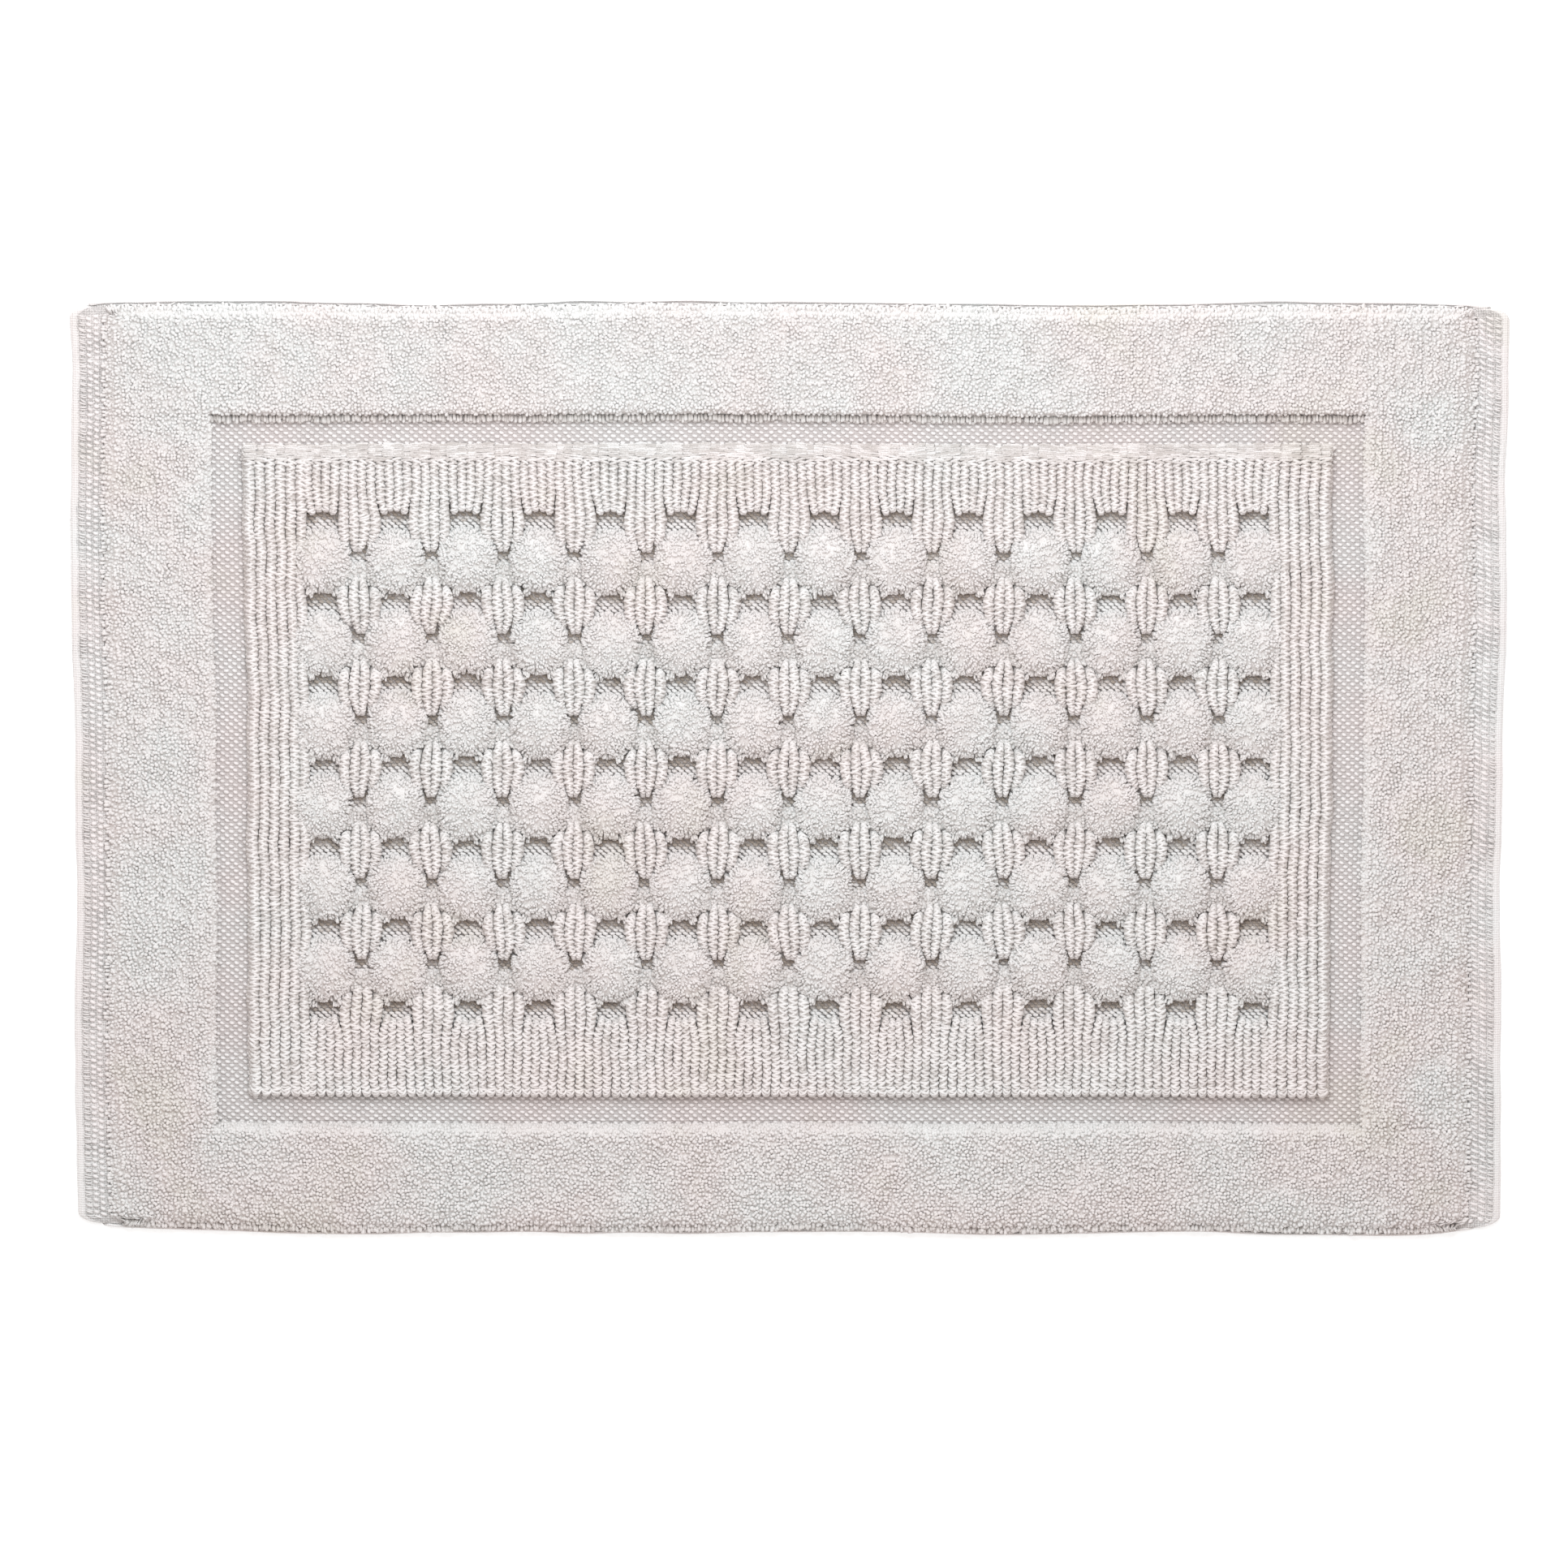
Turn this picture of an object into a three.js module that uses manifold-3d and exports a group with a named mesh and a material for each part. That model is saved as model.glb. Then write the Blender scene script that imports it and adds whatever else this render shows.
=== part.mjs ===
// A tufted cotton bath mat with a sheared border, a flat-woven channel and a raised panel of
// loop ribs and cut-pile pebbles. Millimetres. +X runs along the long side, +Y towards the back
// long edge, +Z up. The origin is the centre of the underside, on the floor.
import * as THREE from "three";
import { mergeVertices } from "three/addons/utils/BufferGeometryUtils.js";
import Module from "manifold-3d";

const wasm = await Module();
wasm.setup();

// ---- driving dimensions ----
const MAT_LENGTH = 762;
const MAT_WIDTH = 508;
const GAP = 0.3;

const FLAP_THICKNESS = 0.9;
const GROUND_BOTTOM = FLAP_THICKNESS + GAP;
const GROUND_TOP = 3.0;
const PILE_ROOT = GROUND_TOP + GAP;
const BORDER_TOP = 13.0;
const LOOP_TOP = 11.5;
const PEBBLE_TOP = 14.5;
const LOZENGE_FOOT_TOP = PILE_ROOT + 1.0;

const SIDE_HEM_WIDTH = 17;
const SIDE_HEM_HALF_RUN = 246;
const SIDE_HEM_TOP = 4.4;
const SIDE_HEM_WALL = 1.4;
const END_HEM_FLAP = 13;
const END_HEM_WALL = 1.4;
const THREAD_WIDTH = 0.9;
const THREAD_HEIGHT = 0.7;
const STITCH_PITCH = 8;
const STITCH_SWING = 5.5;

// The channel lies between these two rectangles, given as half sizes.
const CHANNEL_OUTER_X = 306;
const CHANNEL_OUTER_Y = 193;
const PANEL_HALF_X = 288.5;
const PANEL_HALF_Y = 178;

const PEBBLE_COLUMNS = 14;
const PEBBLE_ROWS = 6;
const PEBBLE_PITCH_X = 38.1;
const PEBBLE_PITCH_Y = 44.45;
const PEBBLE_FIELD_Y = 3;
const PEBBLE_RADIUS_X = 15.2;
const PEBBLE_RADIUS_Y = 17.2;
const PEBBLE_SIDES = 8;
const BRIDGE_HALF_Y = 2.6;
const BRIDGE_DROP = 3.7;
const BRIDGE_HEIGHT = 5;

const LOZENGE_HALF_X = 8.6;
const LOZENGE_HALF_Y = 15;
const LOZENGE_TIP_X = 2.5;
const LOZENGE_FLANK_Y = 5;
const FOOT_HALF_Y = 3;
const MARGIN_INNER_X = 264;
const POCKET_HALF_Y = 4.7;

const IVORY = 0xefece6;
const LATEX = 0xe4dfd2;

// ---- places worked out from them ----
const HALF_X = MAT_LENGTH / 2;
const HALF_Y = MAT_WIDTH / 2;
const SIDE_HEM_INNER = HALF_X - SIDE_HEM_WIDTH;
const BODY_HALF_X = SIDE_HEM_INNER - 2 * GAP;
const END_WALL_INNER = HALF_Y - END_HEM_WALL;
const PILE_HALF_Y = END_WALL_INNER - GAP - THREAD_WIDTH - 2 * GAP;

const columnX = (column) => (column - (PEBBLE_COLUMNS - 1) / 2) * PEBBLE_PITCH_X;
const rowY = (row) => PEBBLE_FIELD_Y + ((PEBBLE_ROWS - 1) / 2 - row) * PEBBLE_PITCH_Y;
const gapX = (column) => columnX(column) + PEBBLE_PITCH_X / 2;
const betweenRowsY = (row) => rowY(row) - PEBBLE_PITCH_Y / 2;

const POCKETS_BACK_Y = rowY(0) + PEBBLE_PITCH_Y / 2;
const POCKETS_FRONT_Y = betweenRowsY(PEBBLE_ROWS - 1);
const MARGIN_BACK_Y = POCKETS_BACK_Y + POCKET_HALF_Y;
const MARGIN_FRONT_Y = POCKETS_FRONT_Y - POCKET_HALF_Y;

// ---- materials ----
function cloth(colour, roughness) {
  return new THREE.MeshStandardMaterial({ color: colour, roughness, metalness: 0 });
}

// ---- shape helpers ----
function outline(points) {
  return new THREE.Shape(points.map(([x, y]) => new THREE.Vector2(x, y)));
}

// A flat outline raised from low to high.
function slab(points, low, high) {
  const geometry = new THREE.ExtrudeGeometry(outline(points), {
    depth: high - low,
    bevelEnabled: false,
  });
  return geometry.translate(0, 0, low);
}

// A flat outline raised from low to high, with its edges softened by a bevel of that many steps.
function softSlab(points, low, high, round, steps) {
  const geometry = new THREE.ExtrudeGeometry(outline(points), {
    depth: high - low - 2 * round,
    bevelEnabled: true,
    bevelThickness: round,
    bevelSize: round,
    bevelOffset: -round,
    bevelSegments: steps,
  });
  return geometry.translate(0, 0, low + round);
}

// A section drawn in Y and Z, run along X between two planes.
function runAlongX(points, from, to) {
  const geometry = new THREE.ExtrudeGeometry(outline(points), {
    depth: to - from,
    bevelEnabled: false,
  });
  const turn = new THREE.Matrix4().makeBasis(
    new THREE.Vector3(0, 1, 0),
    new THREE.Vector3(0, 0, 1),
    new THREE.Vector3(1, 0, 0),
  );
  return geometry.applyMatrix4(turn).translate(from, 0, 0);
}

// A section drawn in X and Z, run along Y between two planes.
function runAlongY(points, from, to) {
  const geometry = new THREE.ExtrudeGeometry(outline(points), {
    depth: to - from,
    bevelEnabled: false,
  });
  const turn = new THREE.Matrix4().makeBasis(
    new THREE.Vector3(1, 0, 0),
    new THREE.Vector3(0, 0, 1),
    new THREE.Vector3(0, -1, 0),
  );
  return geometry.applyMatrix4(turn).translate(0, to, 0);
}

function rectangle(left, right, front, back) {
  return [
    [left, front],
    [right, front],
    [right, back],
    [left, back],
  ];
}

function mirrorX(points) {
  return points.map(([x, y]) => [-x, y]).reverse();
}

function mirrorY(points) {
  return points.map(([x, y]) => [x, -y]).reverse();
}

// ---- joining closed shapes ----
function solidOf(geometry) {
  const bare = geometry.clone();
  bare.deleteAttribute("normal");
  bare.deleteAttribute("uv");
  const merged = mergeVertices(bare, 1e-3);
  const mesh = new wasm.Mesh({
    numProp: 3,
    vertProperties: merged.attributes.position.array,
    triVerts: new Uint32Array(merged.index.array),
  });
  return new wasm.Manifold(mesh);
}

function geometryOf(solid) {
  const mesh = solid.getMesh();
  const geometry = new THREE.BufferGeometry();
  geometry.setAttribute("position", new THREE.BufferAttribute(mesh.vertProperties, 3));
  geometry.setIndex(new THREE.BufferAttribute(mesh.triVerts, 1));
  geometry.computeVertexNormals();
  return geometry;
}

function joined(geometries) {
  const solids = geometries.map(solidOf);
  return geometryOf(solids.reduce((whole, next) => whole.add(next)));
}

// ---- backing and ground ----
function backcoat() {
  const end = HALF_Y - END_HEM_FLAP - GAP;
  return slab(rectangle(-BODY_HALF_X, BODY_HALF_X, -end, end), 0, FLAP_THICKNESS);
}

// The ground cloth is a rectangle with a tab along each side that the side hem folds round.
function groundCloth() {
  const tabX = HALF_X - SIDE_HEM_WALL - 2 * GAP;
  const tabY = SIDE_HEM_HALF_RUN - GAP;
  const endY = END_WALL_INNER - GAP;
  const quarter = [
    [tabX, tabY],
    [BODY_HALF_X, tabY],
    [BODY_HALF_X, endY],
  ];
  const backHalf = [...quarter, ...mirrorX(quarter)];
  return slab([...backHalf, ...mirrorY(backHalf)], GROUND_BOTTOM, GROUND_TOP);
}

// ---- hems ----
// The right hem's section: a strip folded round the ground cloth's edge, open towards the middle.
function sideHemSection() {
  const outerRound = 2.2;
  const wallInner = HALF_X - SIDE_HEM_WALL;
  return [
    [SIDE_HEM_INNER, 0],
    [HALF_X - outerRound, 0],
    [HALF_X - 0.6, 0.8],
    [HALF_X, outerRound],
    [HALF_X - 0.6, SIDE_HEM_TOP - 0.8],
    [HALF_X - outerRound, SIDE_HEM_TOP],
    [SIDE_HEM_INNER, SIDE_HEM_TOP],
    [SIDE_HEM_INNER, GROUND_TOP + GAP],
    [wallInner, GROUND_TOP + GAP],
    [wallInner, FLAP_THICKNESS],
    [SIDE_HEM_INNER, FLAP_THICKNESS],
  ];
}

function sideHem(section) {
  return runAlongY(section, -SIDE_HEM_HALF_RUN, SIDE_HEM_HALF_RUN);
}

// The back hem's section: the cloth's end turned down and under, an L with its flap on the floor.
function endHemSection() {
  return [
    [HALF_Y - END_HEM_FLAP, 0],
    [HALF_Y - 0.5, 0],
    [HALF_Y, 0.5],
    [HALF_Y, GROUND_TOP],
    [END_WALL_INNER, GROUND_TOP],
    [END_WALL_INNER, FLAP_THICKNESS],
    [HALF_Y - END_HEM_FLAP, FLAP_THICKNESS],
  ];
}

function endHem(section) {
  return runAlongX(section, -BODY_HALF_X, BODY_HALF_X);
}

// A zigzag thread that lies on the right hem, one swing for each stitch.
function sideThreadOutline() {
  const left = [];
  const right = [];
  const middle = SIDE_HEM_INNER + 5;
  const stitches = 2 * Math.floor((SIDE_HEM_HALF_RUN - 2) / STITCH_PITCH);
  for (let i = 0; i <= stitches; i += 1) {
    const y = (i - stitches / 2) * STITCH_PITCH;
    const x = middle + (i % 2 === 0 ? -0.5 : 0.5) * STITCH_SWING;
    left.push([x - THREAD_WIDTH / 2, y]);
    right.push([x + THREAD_WIDTH / 2, y]);
  }
  return [...right, ...left.reverse()];
}

function sideThread(points) {
  const low = SIDE_HEM_TOP + GAP;
  return slab(points, low, low + THREAD_HEIGHT);
}

// The row of stitches that closes the back hem, on the ground cloth just outside the pile.
function endThreadSection() {
  const outer = END_WALL_INNER - GAP;
  return rectangle(outer - THREAD_WIDTH, outer, PILE_ROOT, PILE_ROOT + THREAD_HEIGHT);
}

function endThread(section) {
  return runAlongX(section, -BODY_HALF_X + THREAD_WIDTH, BODY_HALF_X - THREAD_WIDTH);
}

// ---- border pile ----
// The back bar, whose outer corners run off at a slant towards the side hems.
function borderEndOutline() {
  const slantX = 13;
  const slantY = 5;
  return [
    [-BODY_HALF_X, CHANNEL_OUTER_Y + GAP],
    [BODY_HALF_X, CHANNEL_OUTER_Y + GAP],
    [BODY_HALF_X, PILE_HALF_Y - slantY],
    [BODY_HALF_X - slantX, PILE_HALF_Y],
    [-BODY_HALF_X + slantX, PILE_HALF_Y],
    [-BODY_HALF_X, PILE_HALF_Y - slantY],
  ];
}

function borderSideOutline() {
  return rectangle(CHANNEL_OUTER_X, BODY_HALF_X, -CHANNEL_OUTER_Y, CHANNEL_OUTER_Y);
}

function borderPile(points) {
  return softSlab(points, PILE_ROOT, BORDER_TOP, 2.5, 2);
}

// ---- loop margins of the panel ----
// The back margin: its inner edge drops into a half lozenge between each two pebble columns.
function marginEndOutline(edgeY, innerY, tipY) {
  const points = [
    [PANEL_HALF_X, innerY],
    [PANEL_HALF_X, edgeY],
    [-PANEL_HALF_X, edgeY],
    [-PANEL_HALF_X, innerY],
  ];
  for (let column = 0; column < PEBBLE_COLUMNS - 1; column += 1) {
    const x = gapX(column);
    points.push([x - LOZENGE_HALF_X, innerY]);
    points.push([x - LOZENGE_TIP_X, tipY]);
    points.push([x + LOZENGE_TIP_X, tipY]);
    points.push([x + LOZENGE_HALF_X, innerY]);
  }
  return points;
}

function marginBackOutline() {
  const tipY = POCKETS_BACK_Y - LOZENGE_HALF_Y;
  return marginEndOutline(PANEL_HALF_Y, MARGIN_BACK_Y, tipY);
}

function marginFrontOutline() {
  const tipY = POCKETS_FRONT_Y + LOZENGE_HALF_Y;
  return marginEndOutline(-PANEL_HALF_Y, MARGIN_FRONT_Y, tipY).reverse();
}

// The right margin: its inner edge bulges towards the pocket between each two pebble rows.
function marginSideOutline() {
  const front = MARGIN_FRONT_Y + GAP;
  const back = MARGIN_BACK_Y - GAP;
  const bulgeX = 10;
  const points = [
    [MARGIN_INNER_X, front],
    [PANEL_HALF_X, front],
    [PANEL_HALF_X, back],
    [MARGIN_INNER_X, back],
  ];
  for (let row = 0; row < PEBBLE_ROWS - 1; row += 1) {
    const y = betweenRowsY(row);
    points.push([MARGIN_INNER_X, y + POCKET_HALF_Y + 3]);
    points.push([MARGIN_INNER_X - bulgeX, y + 1.5]);
    points.push([MARGIN_INNER_X - bulgeX, y - 1.5]);
    points.push([MARGIN_INNER_X, y - POCKET_HALF_Y - 3]);
  }
  return points;
}

function loopPile(points) {
  return softSlab(points, PILE_ROOT, LOOP_TOP, 1.2, 1);
}

// ---- pebbles ----
// One domed tuft of cut pile, its widest ring a little above its root.
function pebble(x, y) {
  const height = PEBBLE_TOP - PILE_ROOT;
  const profile = [
    [0, 0],
    [0.86, 0],
    [1, 0.35],
    [0.72, 0.84],
    [0, 1],
  ].map(([r, h]) => new THREE.Vector2(r, h * height));
  const dome = new THREE.LatheGeometry(profile, PEBBLE_SIDES);
  dome.rotateX(Math.PI / 2);
  dome.scale(PEBBLE_RADIUS_X, PEBBLE_RADIUS_Y, 1);
  return dome.translate(x, y, PILE_ROOT);
}

// Cut pile brushed together between two neighbouring pebbles.
function pebbleBridge(x, y) {
  const reach = PEBBLE_PITCH_X / 2 - PEBBLE_RADIUS_X + 4;
  const middle = y - BRIDGE_DROP;
  const points = rectangle(x - reach, x + reach, middle - BRIDGE_HALF_Y, middle + BRIDGE_HALF_Y);
  return slab(points, PILE_ROOT, PILE_ROOT + BRIDGE_HEIGHT);
}

function pebbleRow(row) {
  const y = rowY(row);
  const pieces = [pebble(columnX(0), y)];
  for (let column = 1; column < PEBBLE_COLUMNS; column += 1) {
    pieces.push(pebbleBridge(gapX(column - 1), y));
    pieces.push(pebble(columnX(column), y));
  }
  return joined(pieces);
}

// ---- ribbed lozenges ----
function lozenge(x, y) {
  const points = [
    [x - LOZENGE_TIP_X, y - LOZENGE_HALF_Y],
    [x + LOZENGE_TIP_X, y - LOZENGE_HALF_Y],
    [x + LOZENGE_HALF_X, y - LOZENGE_FLANK_Y],
    [x + LOZENGE_HALF_X, y + LOZENGE_FLANK_Y],
    [x + LOZENGE_TIP_X, y + LOZENGE_HALF_Y],
    [x - LOZENGE_TIP_X, y + LOZENGE_HALF_Y],
    [x - LOZENGE_HALF_X, y + LOZENGE_FLANK_Y],
    [x - LOZENGE_HALF_X, y - LOZENGE_FLANK_Y],
  ];
  return loopPile(points);
}

// The lozenges between two pebble rows, joined by the low yarn floats between their roots.
function lozengeRow(row) {
  const y = betweenRowsY(row);
  const endX = gapX(PEBBLE_COLUMNS - 2);
  const foot = rectangle(-endX, endX, y - FOOT_HALF_Y, y + FOOT_HALF_Y);
  const pieces = [slab(foot, PILE_ROOT, LOZENGE_FOOT_TOP)];
  for (let column = 0; column < PEBBLE_COLUMNS - 1; column += 1) {
    pieces.push(lozenge(gapX(column), y));
  }
  return joined(pieces);
}

// ---- the assembly ----
const mat = new THREE.Group();

function addPiece(name, geometry, material) {
  const mesh = new THREE.Mesh(geometry, material);
  mesh.name = name;
  mat.add(mesh);
}

addPiece("latex_backcoat", backcoat(), cloth(LATEX, 0.85));
addPiece("ground_cloth", groundCloth(), cloth(IVORY, 0.95));

addPiece("hem_right", sideHem(sideHemSection()), cloth(IVORY, 0.95));
addPiece("hem_left", sideHem(mirrorX(sideHemSection())), cloth(IVORY, 0.95));
addPiece("hem_back", endHem(endHemSection()), cloth(IVORY, 0.95));
addPiece("hem_front", endHem(mirrorX(endHemSection())), cloth(IVORY, 0.95));

addPiece("hem_thread_right", sideThread(sideThreadOutline()), cloth(IVORY, 0.8));
addPiece("hem_thread_left", sideThread(mirrorX(sideThreadOutline())), cloth(IVORY, 0.8));
addPiece("hem_thread_back", endThread(endThreadSection()), cloth(IVORY, 0.8));
addPiece("hem_thread_front", endThread(mirrorX(endThreadSection())), cloth(IVORY, 0.8));

addPiece("border_pile_back", borderPile(borderEndOutline()), cloth(IVORY, 1));
addPiece("border_pile_front", borderPile(mirrorY(borderEndOutline())), cloth(IVORY, 1));
addPiece("border_pile_right", borderPile(borderSideOutline()), cloth(IVORY, 1));
addPiece("border_pile_left", borderPile(mirrorX(borderSideOutline())), cloth(IVORY, 1));

addPiece("loop_margin_back", loopPile(marginBackOutline()), cloth(IVORY, 0.95));
addPiece("loop_margin_front", loopPile(marginFrontOutline()), cloth(IVORY, 0.95));
addPiece("loop_margin_right", loopPile(marginSideOutline()), cloth(IVORY, 0.95));
addPiece("loop_margin_left", loopPile(mirrorX(marginSideOutline())), cloth(IVORY, 0.95));

for (let row = 0; row < PEBBLE_ROWS; row += 1) {
  addPiece(`pebble_row_${row + 1}`, pebbleRow(row), cloth(IVORY, 1));
}
for (let row = 0; row < PEBBLE_ROWS - 1; row += 1) {
  addPiece(`loop_lozenge_row_${row + 1}`, lozengeRow(row), cloth(IVORY, 0.95));
}

export default mat;
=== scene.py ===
"""A tufted cotton bath mat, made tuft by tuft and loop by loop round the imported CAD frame.

The frame gives every place: the border, channel, panel, pebble rows, hems and backing are read from the
CAD nodes' boxes. Lengths are millimetres until make_piece() writes them to a mesh in metres.
X runs along the mat, +Y is its back edge, and z = 0 is the floor.
"""
import math

import bpy
import numpy as np
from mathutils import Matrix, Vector


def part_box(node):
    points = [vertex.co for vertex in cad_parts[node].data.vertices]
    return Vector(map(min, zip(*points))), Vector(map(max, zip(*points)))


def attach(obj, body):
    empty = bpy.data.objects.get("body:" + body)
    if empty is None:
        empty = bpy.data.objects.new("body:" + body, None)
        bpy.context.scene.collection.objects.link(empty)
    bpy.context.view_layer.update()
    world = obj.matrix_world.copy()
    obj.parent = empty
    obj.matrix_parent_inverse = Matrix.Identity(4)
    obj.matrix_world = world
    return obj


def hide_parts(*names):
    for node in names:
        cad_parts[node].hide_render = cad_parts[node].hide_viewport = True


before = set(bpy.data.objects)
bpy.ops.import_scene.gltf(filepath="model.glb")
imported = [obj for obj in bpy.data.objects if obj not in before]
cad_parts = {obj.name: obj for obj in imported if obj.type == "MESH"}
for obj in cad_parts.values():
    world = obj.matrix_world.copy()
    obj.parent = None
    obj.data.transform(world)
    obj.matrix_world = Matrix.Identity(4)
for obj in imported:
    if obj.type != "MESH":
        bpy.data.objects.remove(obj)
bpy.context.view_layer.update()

MM = 0.001
WAVE_PERIOD = 0.314       # a wave texture of scale 1 repeats after this many metres
SEED = 7
UP = np.array([0.0, 0.0, 1.0])
SIDES = (("left", -1), ("right", 1))   # the mat's sides and their signs in x
ENDS = (("back", 1), ("front", -1))    # its ends and their signs in y

# ---- the loop-pile panel ----
PEBBLE_COLUMNS = 14
PEBBLE_ROWS = 6
GAUGE = 4.7625            # distance between two needles, so between two ribs
RIB_OFFSETS = (-1.5, -0.5, 0.5, 1.5)   # a group's ribs, in gauges from its middle
SIDE_RIBS = 5
SIDE_RIB_PITCH = 5.35
LOOP_TOP = 11.6
LOOP_PITCH = 1.4          # distance between two loops along a rib
LOOP_YARN = 0.76          # radius of the loop yarn
LOOP_RISE = 2.35          # how far a loop stands over the crease between two ribs
LOOP_TURN = 0.5           # loops turn by this much, one way and then the other, in radians
LOOP_SIDES = 5
BAND_DEPTH = 9.5          # the smooth slope along the back edge of the ribbed panel
BAND_PAINTED_SHADE = -0.6         # painted shade where the loops lie flat on the lit back slope
RIB_END_TAPER = 0.3       # the share of its width a rib loses at its ends
CORE_SIDES = 8
CORE_PAINTED_SHADE = -0.4         # painted shade in the creases between ribs

# ---- cut pile ----
TUFT_SPACING = 1.8
TUFT_RADIUS = 0.92
TUFT_ROOT = 3.4           # how deep a tuft starts under the pile's surface
TUFT_SIDES = 5
BORDER_TOP = 12.6
SIDE_SLOPE = 12.0         # how far in the border's edge slopes down to the side hems
END_ROUND = 5.0           # the same at the back
FRONT_ROUND = 13.0        # the same at the front
INNER_ROUND = 6.0         # the same along the channel
ROW_CREST = 0.42          # how far the tufted rows stand out at the back and front
SIDE_ROW_CREST = 0.75     # the same at the sides
BED_BELOW_TIPS = 2.0      # the solid pile under the tufts' tips
BED_PAINTED_SHADE = 0.25          # painted shade between the tufts, against 0 to 1 for yarn ends
# The tufts on the border's upright faces: how high they reach, how far they hang over the edge, and
# the painted shade at the foot, deepest on faces turned from the key light; a value above 0 is painted
# light.
BACK_FACE = (9.0, 1.5, -0.1)
FRONT_FACE = (9.0, 1.5, -1.2)
SIDE_FACE = (5.6, 1.9, 0.1)
CHANNEL_FACE = (8.6, 0.8, -0.5)
BACK_CHANNEL_FACE = (7.4, 4.2, -1.2)

# ---- pebbles and the pile between them ----
PEBBLE_CAD_HALF_X = 15.2  # a pebble's half width in the CAD, from which its column is found
PEBBLE_HALF_X = 15.4
PEBBLE_HALF_Y = 17.6
PEBBLE_SHIFT = 0.5        # towards the back, from the row's middle line
PEBBLE_TOP = 14.0
PEBBLE_TUFTS = 680
PEBBLE_TUFT_SCALE = 0.77
FLANK_PAINTED_SHADE = -0.7        # painted shade: how much darker the foot of a pebble's front is
FOOT_TUFTS = 15           # tufts at each of a pebble's front corners
# Painted shade on the tufts at a pebble's front corners, down in the pocket.
FOOT_PAINTED_SHADE = -0.45
SADDLE_HALF_X = 9.5
SADDLE_TOP = 7.2
SADDLE_BACK = -0.5        # from the pebble row's middle line
SADDLE_FRONT = -13.0
SADDLE_TUFT_SPACING = 1.85
# Painted shade on the low pile between two pebbles.
SADDLE_PAINTED_SHADE = -0.6

# ---- ground weave and hems ----
FLOAT_PITCH_X = 4.7625    # raised yarns of the ground weave
FLOAT_PITCH_Y = 3.9
HEM_PITCH_Y = 3.25
HEM_HALF_Y = 252.6        # the side hems run on under the rounded corners
END_HEM_HALF_X = 379.0    # the back and front hems wrap round the corners


# ---- places from the frame, in millimetres ----
def box_mm(node):
    low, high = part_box(node)
    return np.array(low) / MM, np.array(high) / MM


BACK_LOW, BACK_HIGH = box_mm("border_pile_back")
MARGIN_HIGH = box_mm("loop_margin_back")[1]
GROUND_LOW, GROUND_HIGH = box_mm("ground_cloth")
HEM_LOW, HEM_HIGH = box_mm("hem_right")
END_HEM_LOW, END_HEM_HIGH = box_mm("hem_back")
END_THREAD_LOW, END_THREAD_HIGH = box_mm("hem_thread_back")
COAT_LOW, COAT_HIGH = box_mm("latex_backcoat")

PILE_ROOT = BACK_LOW[2]
GROUND_TOP = GROUND_HIGH[2]
BORDER_HALF_X = BACK_HIGH[0]
BORDER_HALF_Y = BACK_HIGH[1]
CHANNEL_OUTER_X = -box_mm("border_pile_left")[1][0]
CHANNEL_OUTER_Y = BACK_LOW[1]
PANEL_HALF_X = MARGIN_HIGH[0]
PANEL_HALF_Y = MARGIN_HIGH[1]

ROW_Y = [sum(box_mm(f"pebble_row_{row + 1}"))[1] / 2 for row in range(PEBBLE_ROWS)]
ROW_PITCH = ROW_Y[0] - ROW_Y[1]
FIRST_X = box_mm("pebble_row_1")[0][0] + PEBBLE_CAD_HALF_X
COLUMN_X = np.linspace(FIRST_X, -FIRST_X, PEBBLE_COLUMNS)
COLUMN_PITCH = COLUMN_X[1] - COLUMN_X[0]
GAP_X = COLUMN_X[:-1] + COLUMN_PITCH / 2
POCKET_BACK_Y = ROW_Y[0] + ROW_PITCH / 2
POCKET_FRONT_Y = ROW_Y[-1] - ROW_PITCH / 2


# ---- small maths ----
def unit(v):
    return v / np.maximum(np.linalg.norm(v, axis=-1, keepdims=True), 1e-9)


def ripple(x, y, wavelength, seed, waves=9):
    """Smooth noise of about unit size: a sum of sine waves in random directions."""
    draw = np.random.default_rng(seed)
    total = np.zeros(np.broadcast(x, y).shape)
    for _ in range(waves):
        angle, phase = draw.uniform(0, 2 * math.pi, 2)
        k = 2 * math.pi / (wavelength * draw.uniform(0.7, 1.5))
        total += np.sin(k * (x * math.cos(angle) + y * math.sin(angle)) + phase)
    return total / math.sqrt(waves / 2)


def curve_of(y, places, values):
    """A smooth curve of y through (place, value) points."""
    order = np.argsort(places)
    p, v = np.array(places, float)[order], np.array(values, float)[order]
    fine = np.linspace(p[0], p[-1], 200)
    kernel = np.hanning(25)
    pad = len(kernel) // 2
    padded = np.pad(np.interp(fine, p, v), pad, mode="edge")
    return np.interp(y, fine, np.convolve(padded, kernel / kernel.sum(), mode="valid"))


def rounded(distance, radius):
    """The share of the full height at a distance from an edge rounded over radius."""
    return np.sqrt(1 - (1 - np.clip(distance / radius, 0, 1)) ** 2)


def sloped(distance, reach):
    """The share of the full height on a slope that starts at the ground and levels off at reach."""
    return np.sin(0.5 * math.pi * np.clip(distance / reach, 0, 1))


# ---- mesh parts: (points, [smooth faces], [flat faces], shade) ----
def join(parts):
    points, smooth, flat, shades, start = [], [], [], [], 0
    for part_points, part_smooth, part_flat, shade in parts:
        points.append(part_points)
        shades.append(np.broadcast_to(shade, (len(part_points),)))
        smooth.extend(array + start for array in part_smooth)
        flat.extend(array + start for array in part_flat)
        start += len(part_points)
    return np.concatenate(points), smooth, flat, np.concatenate(shades)


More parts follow.
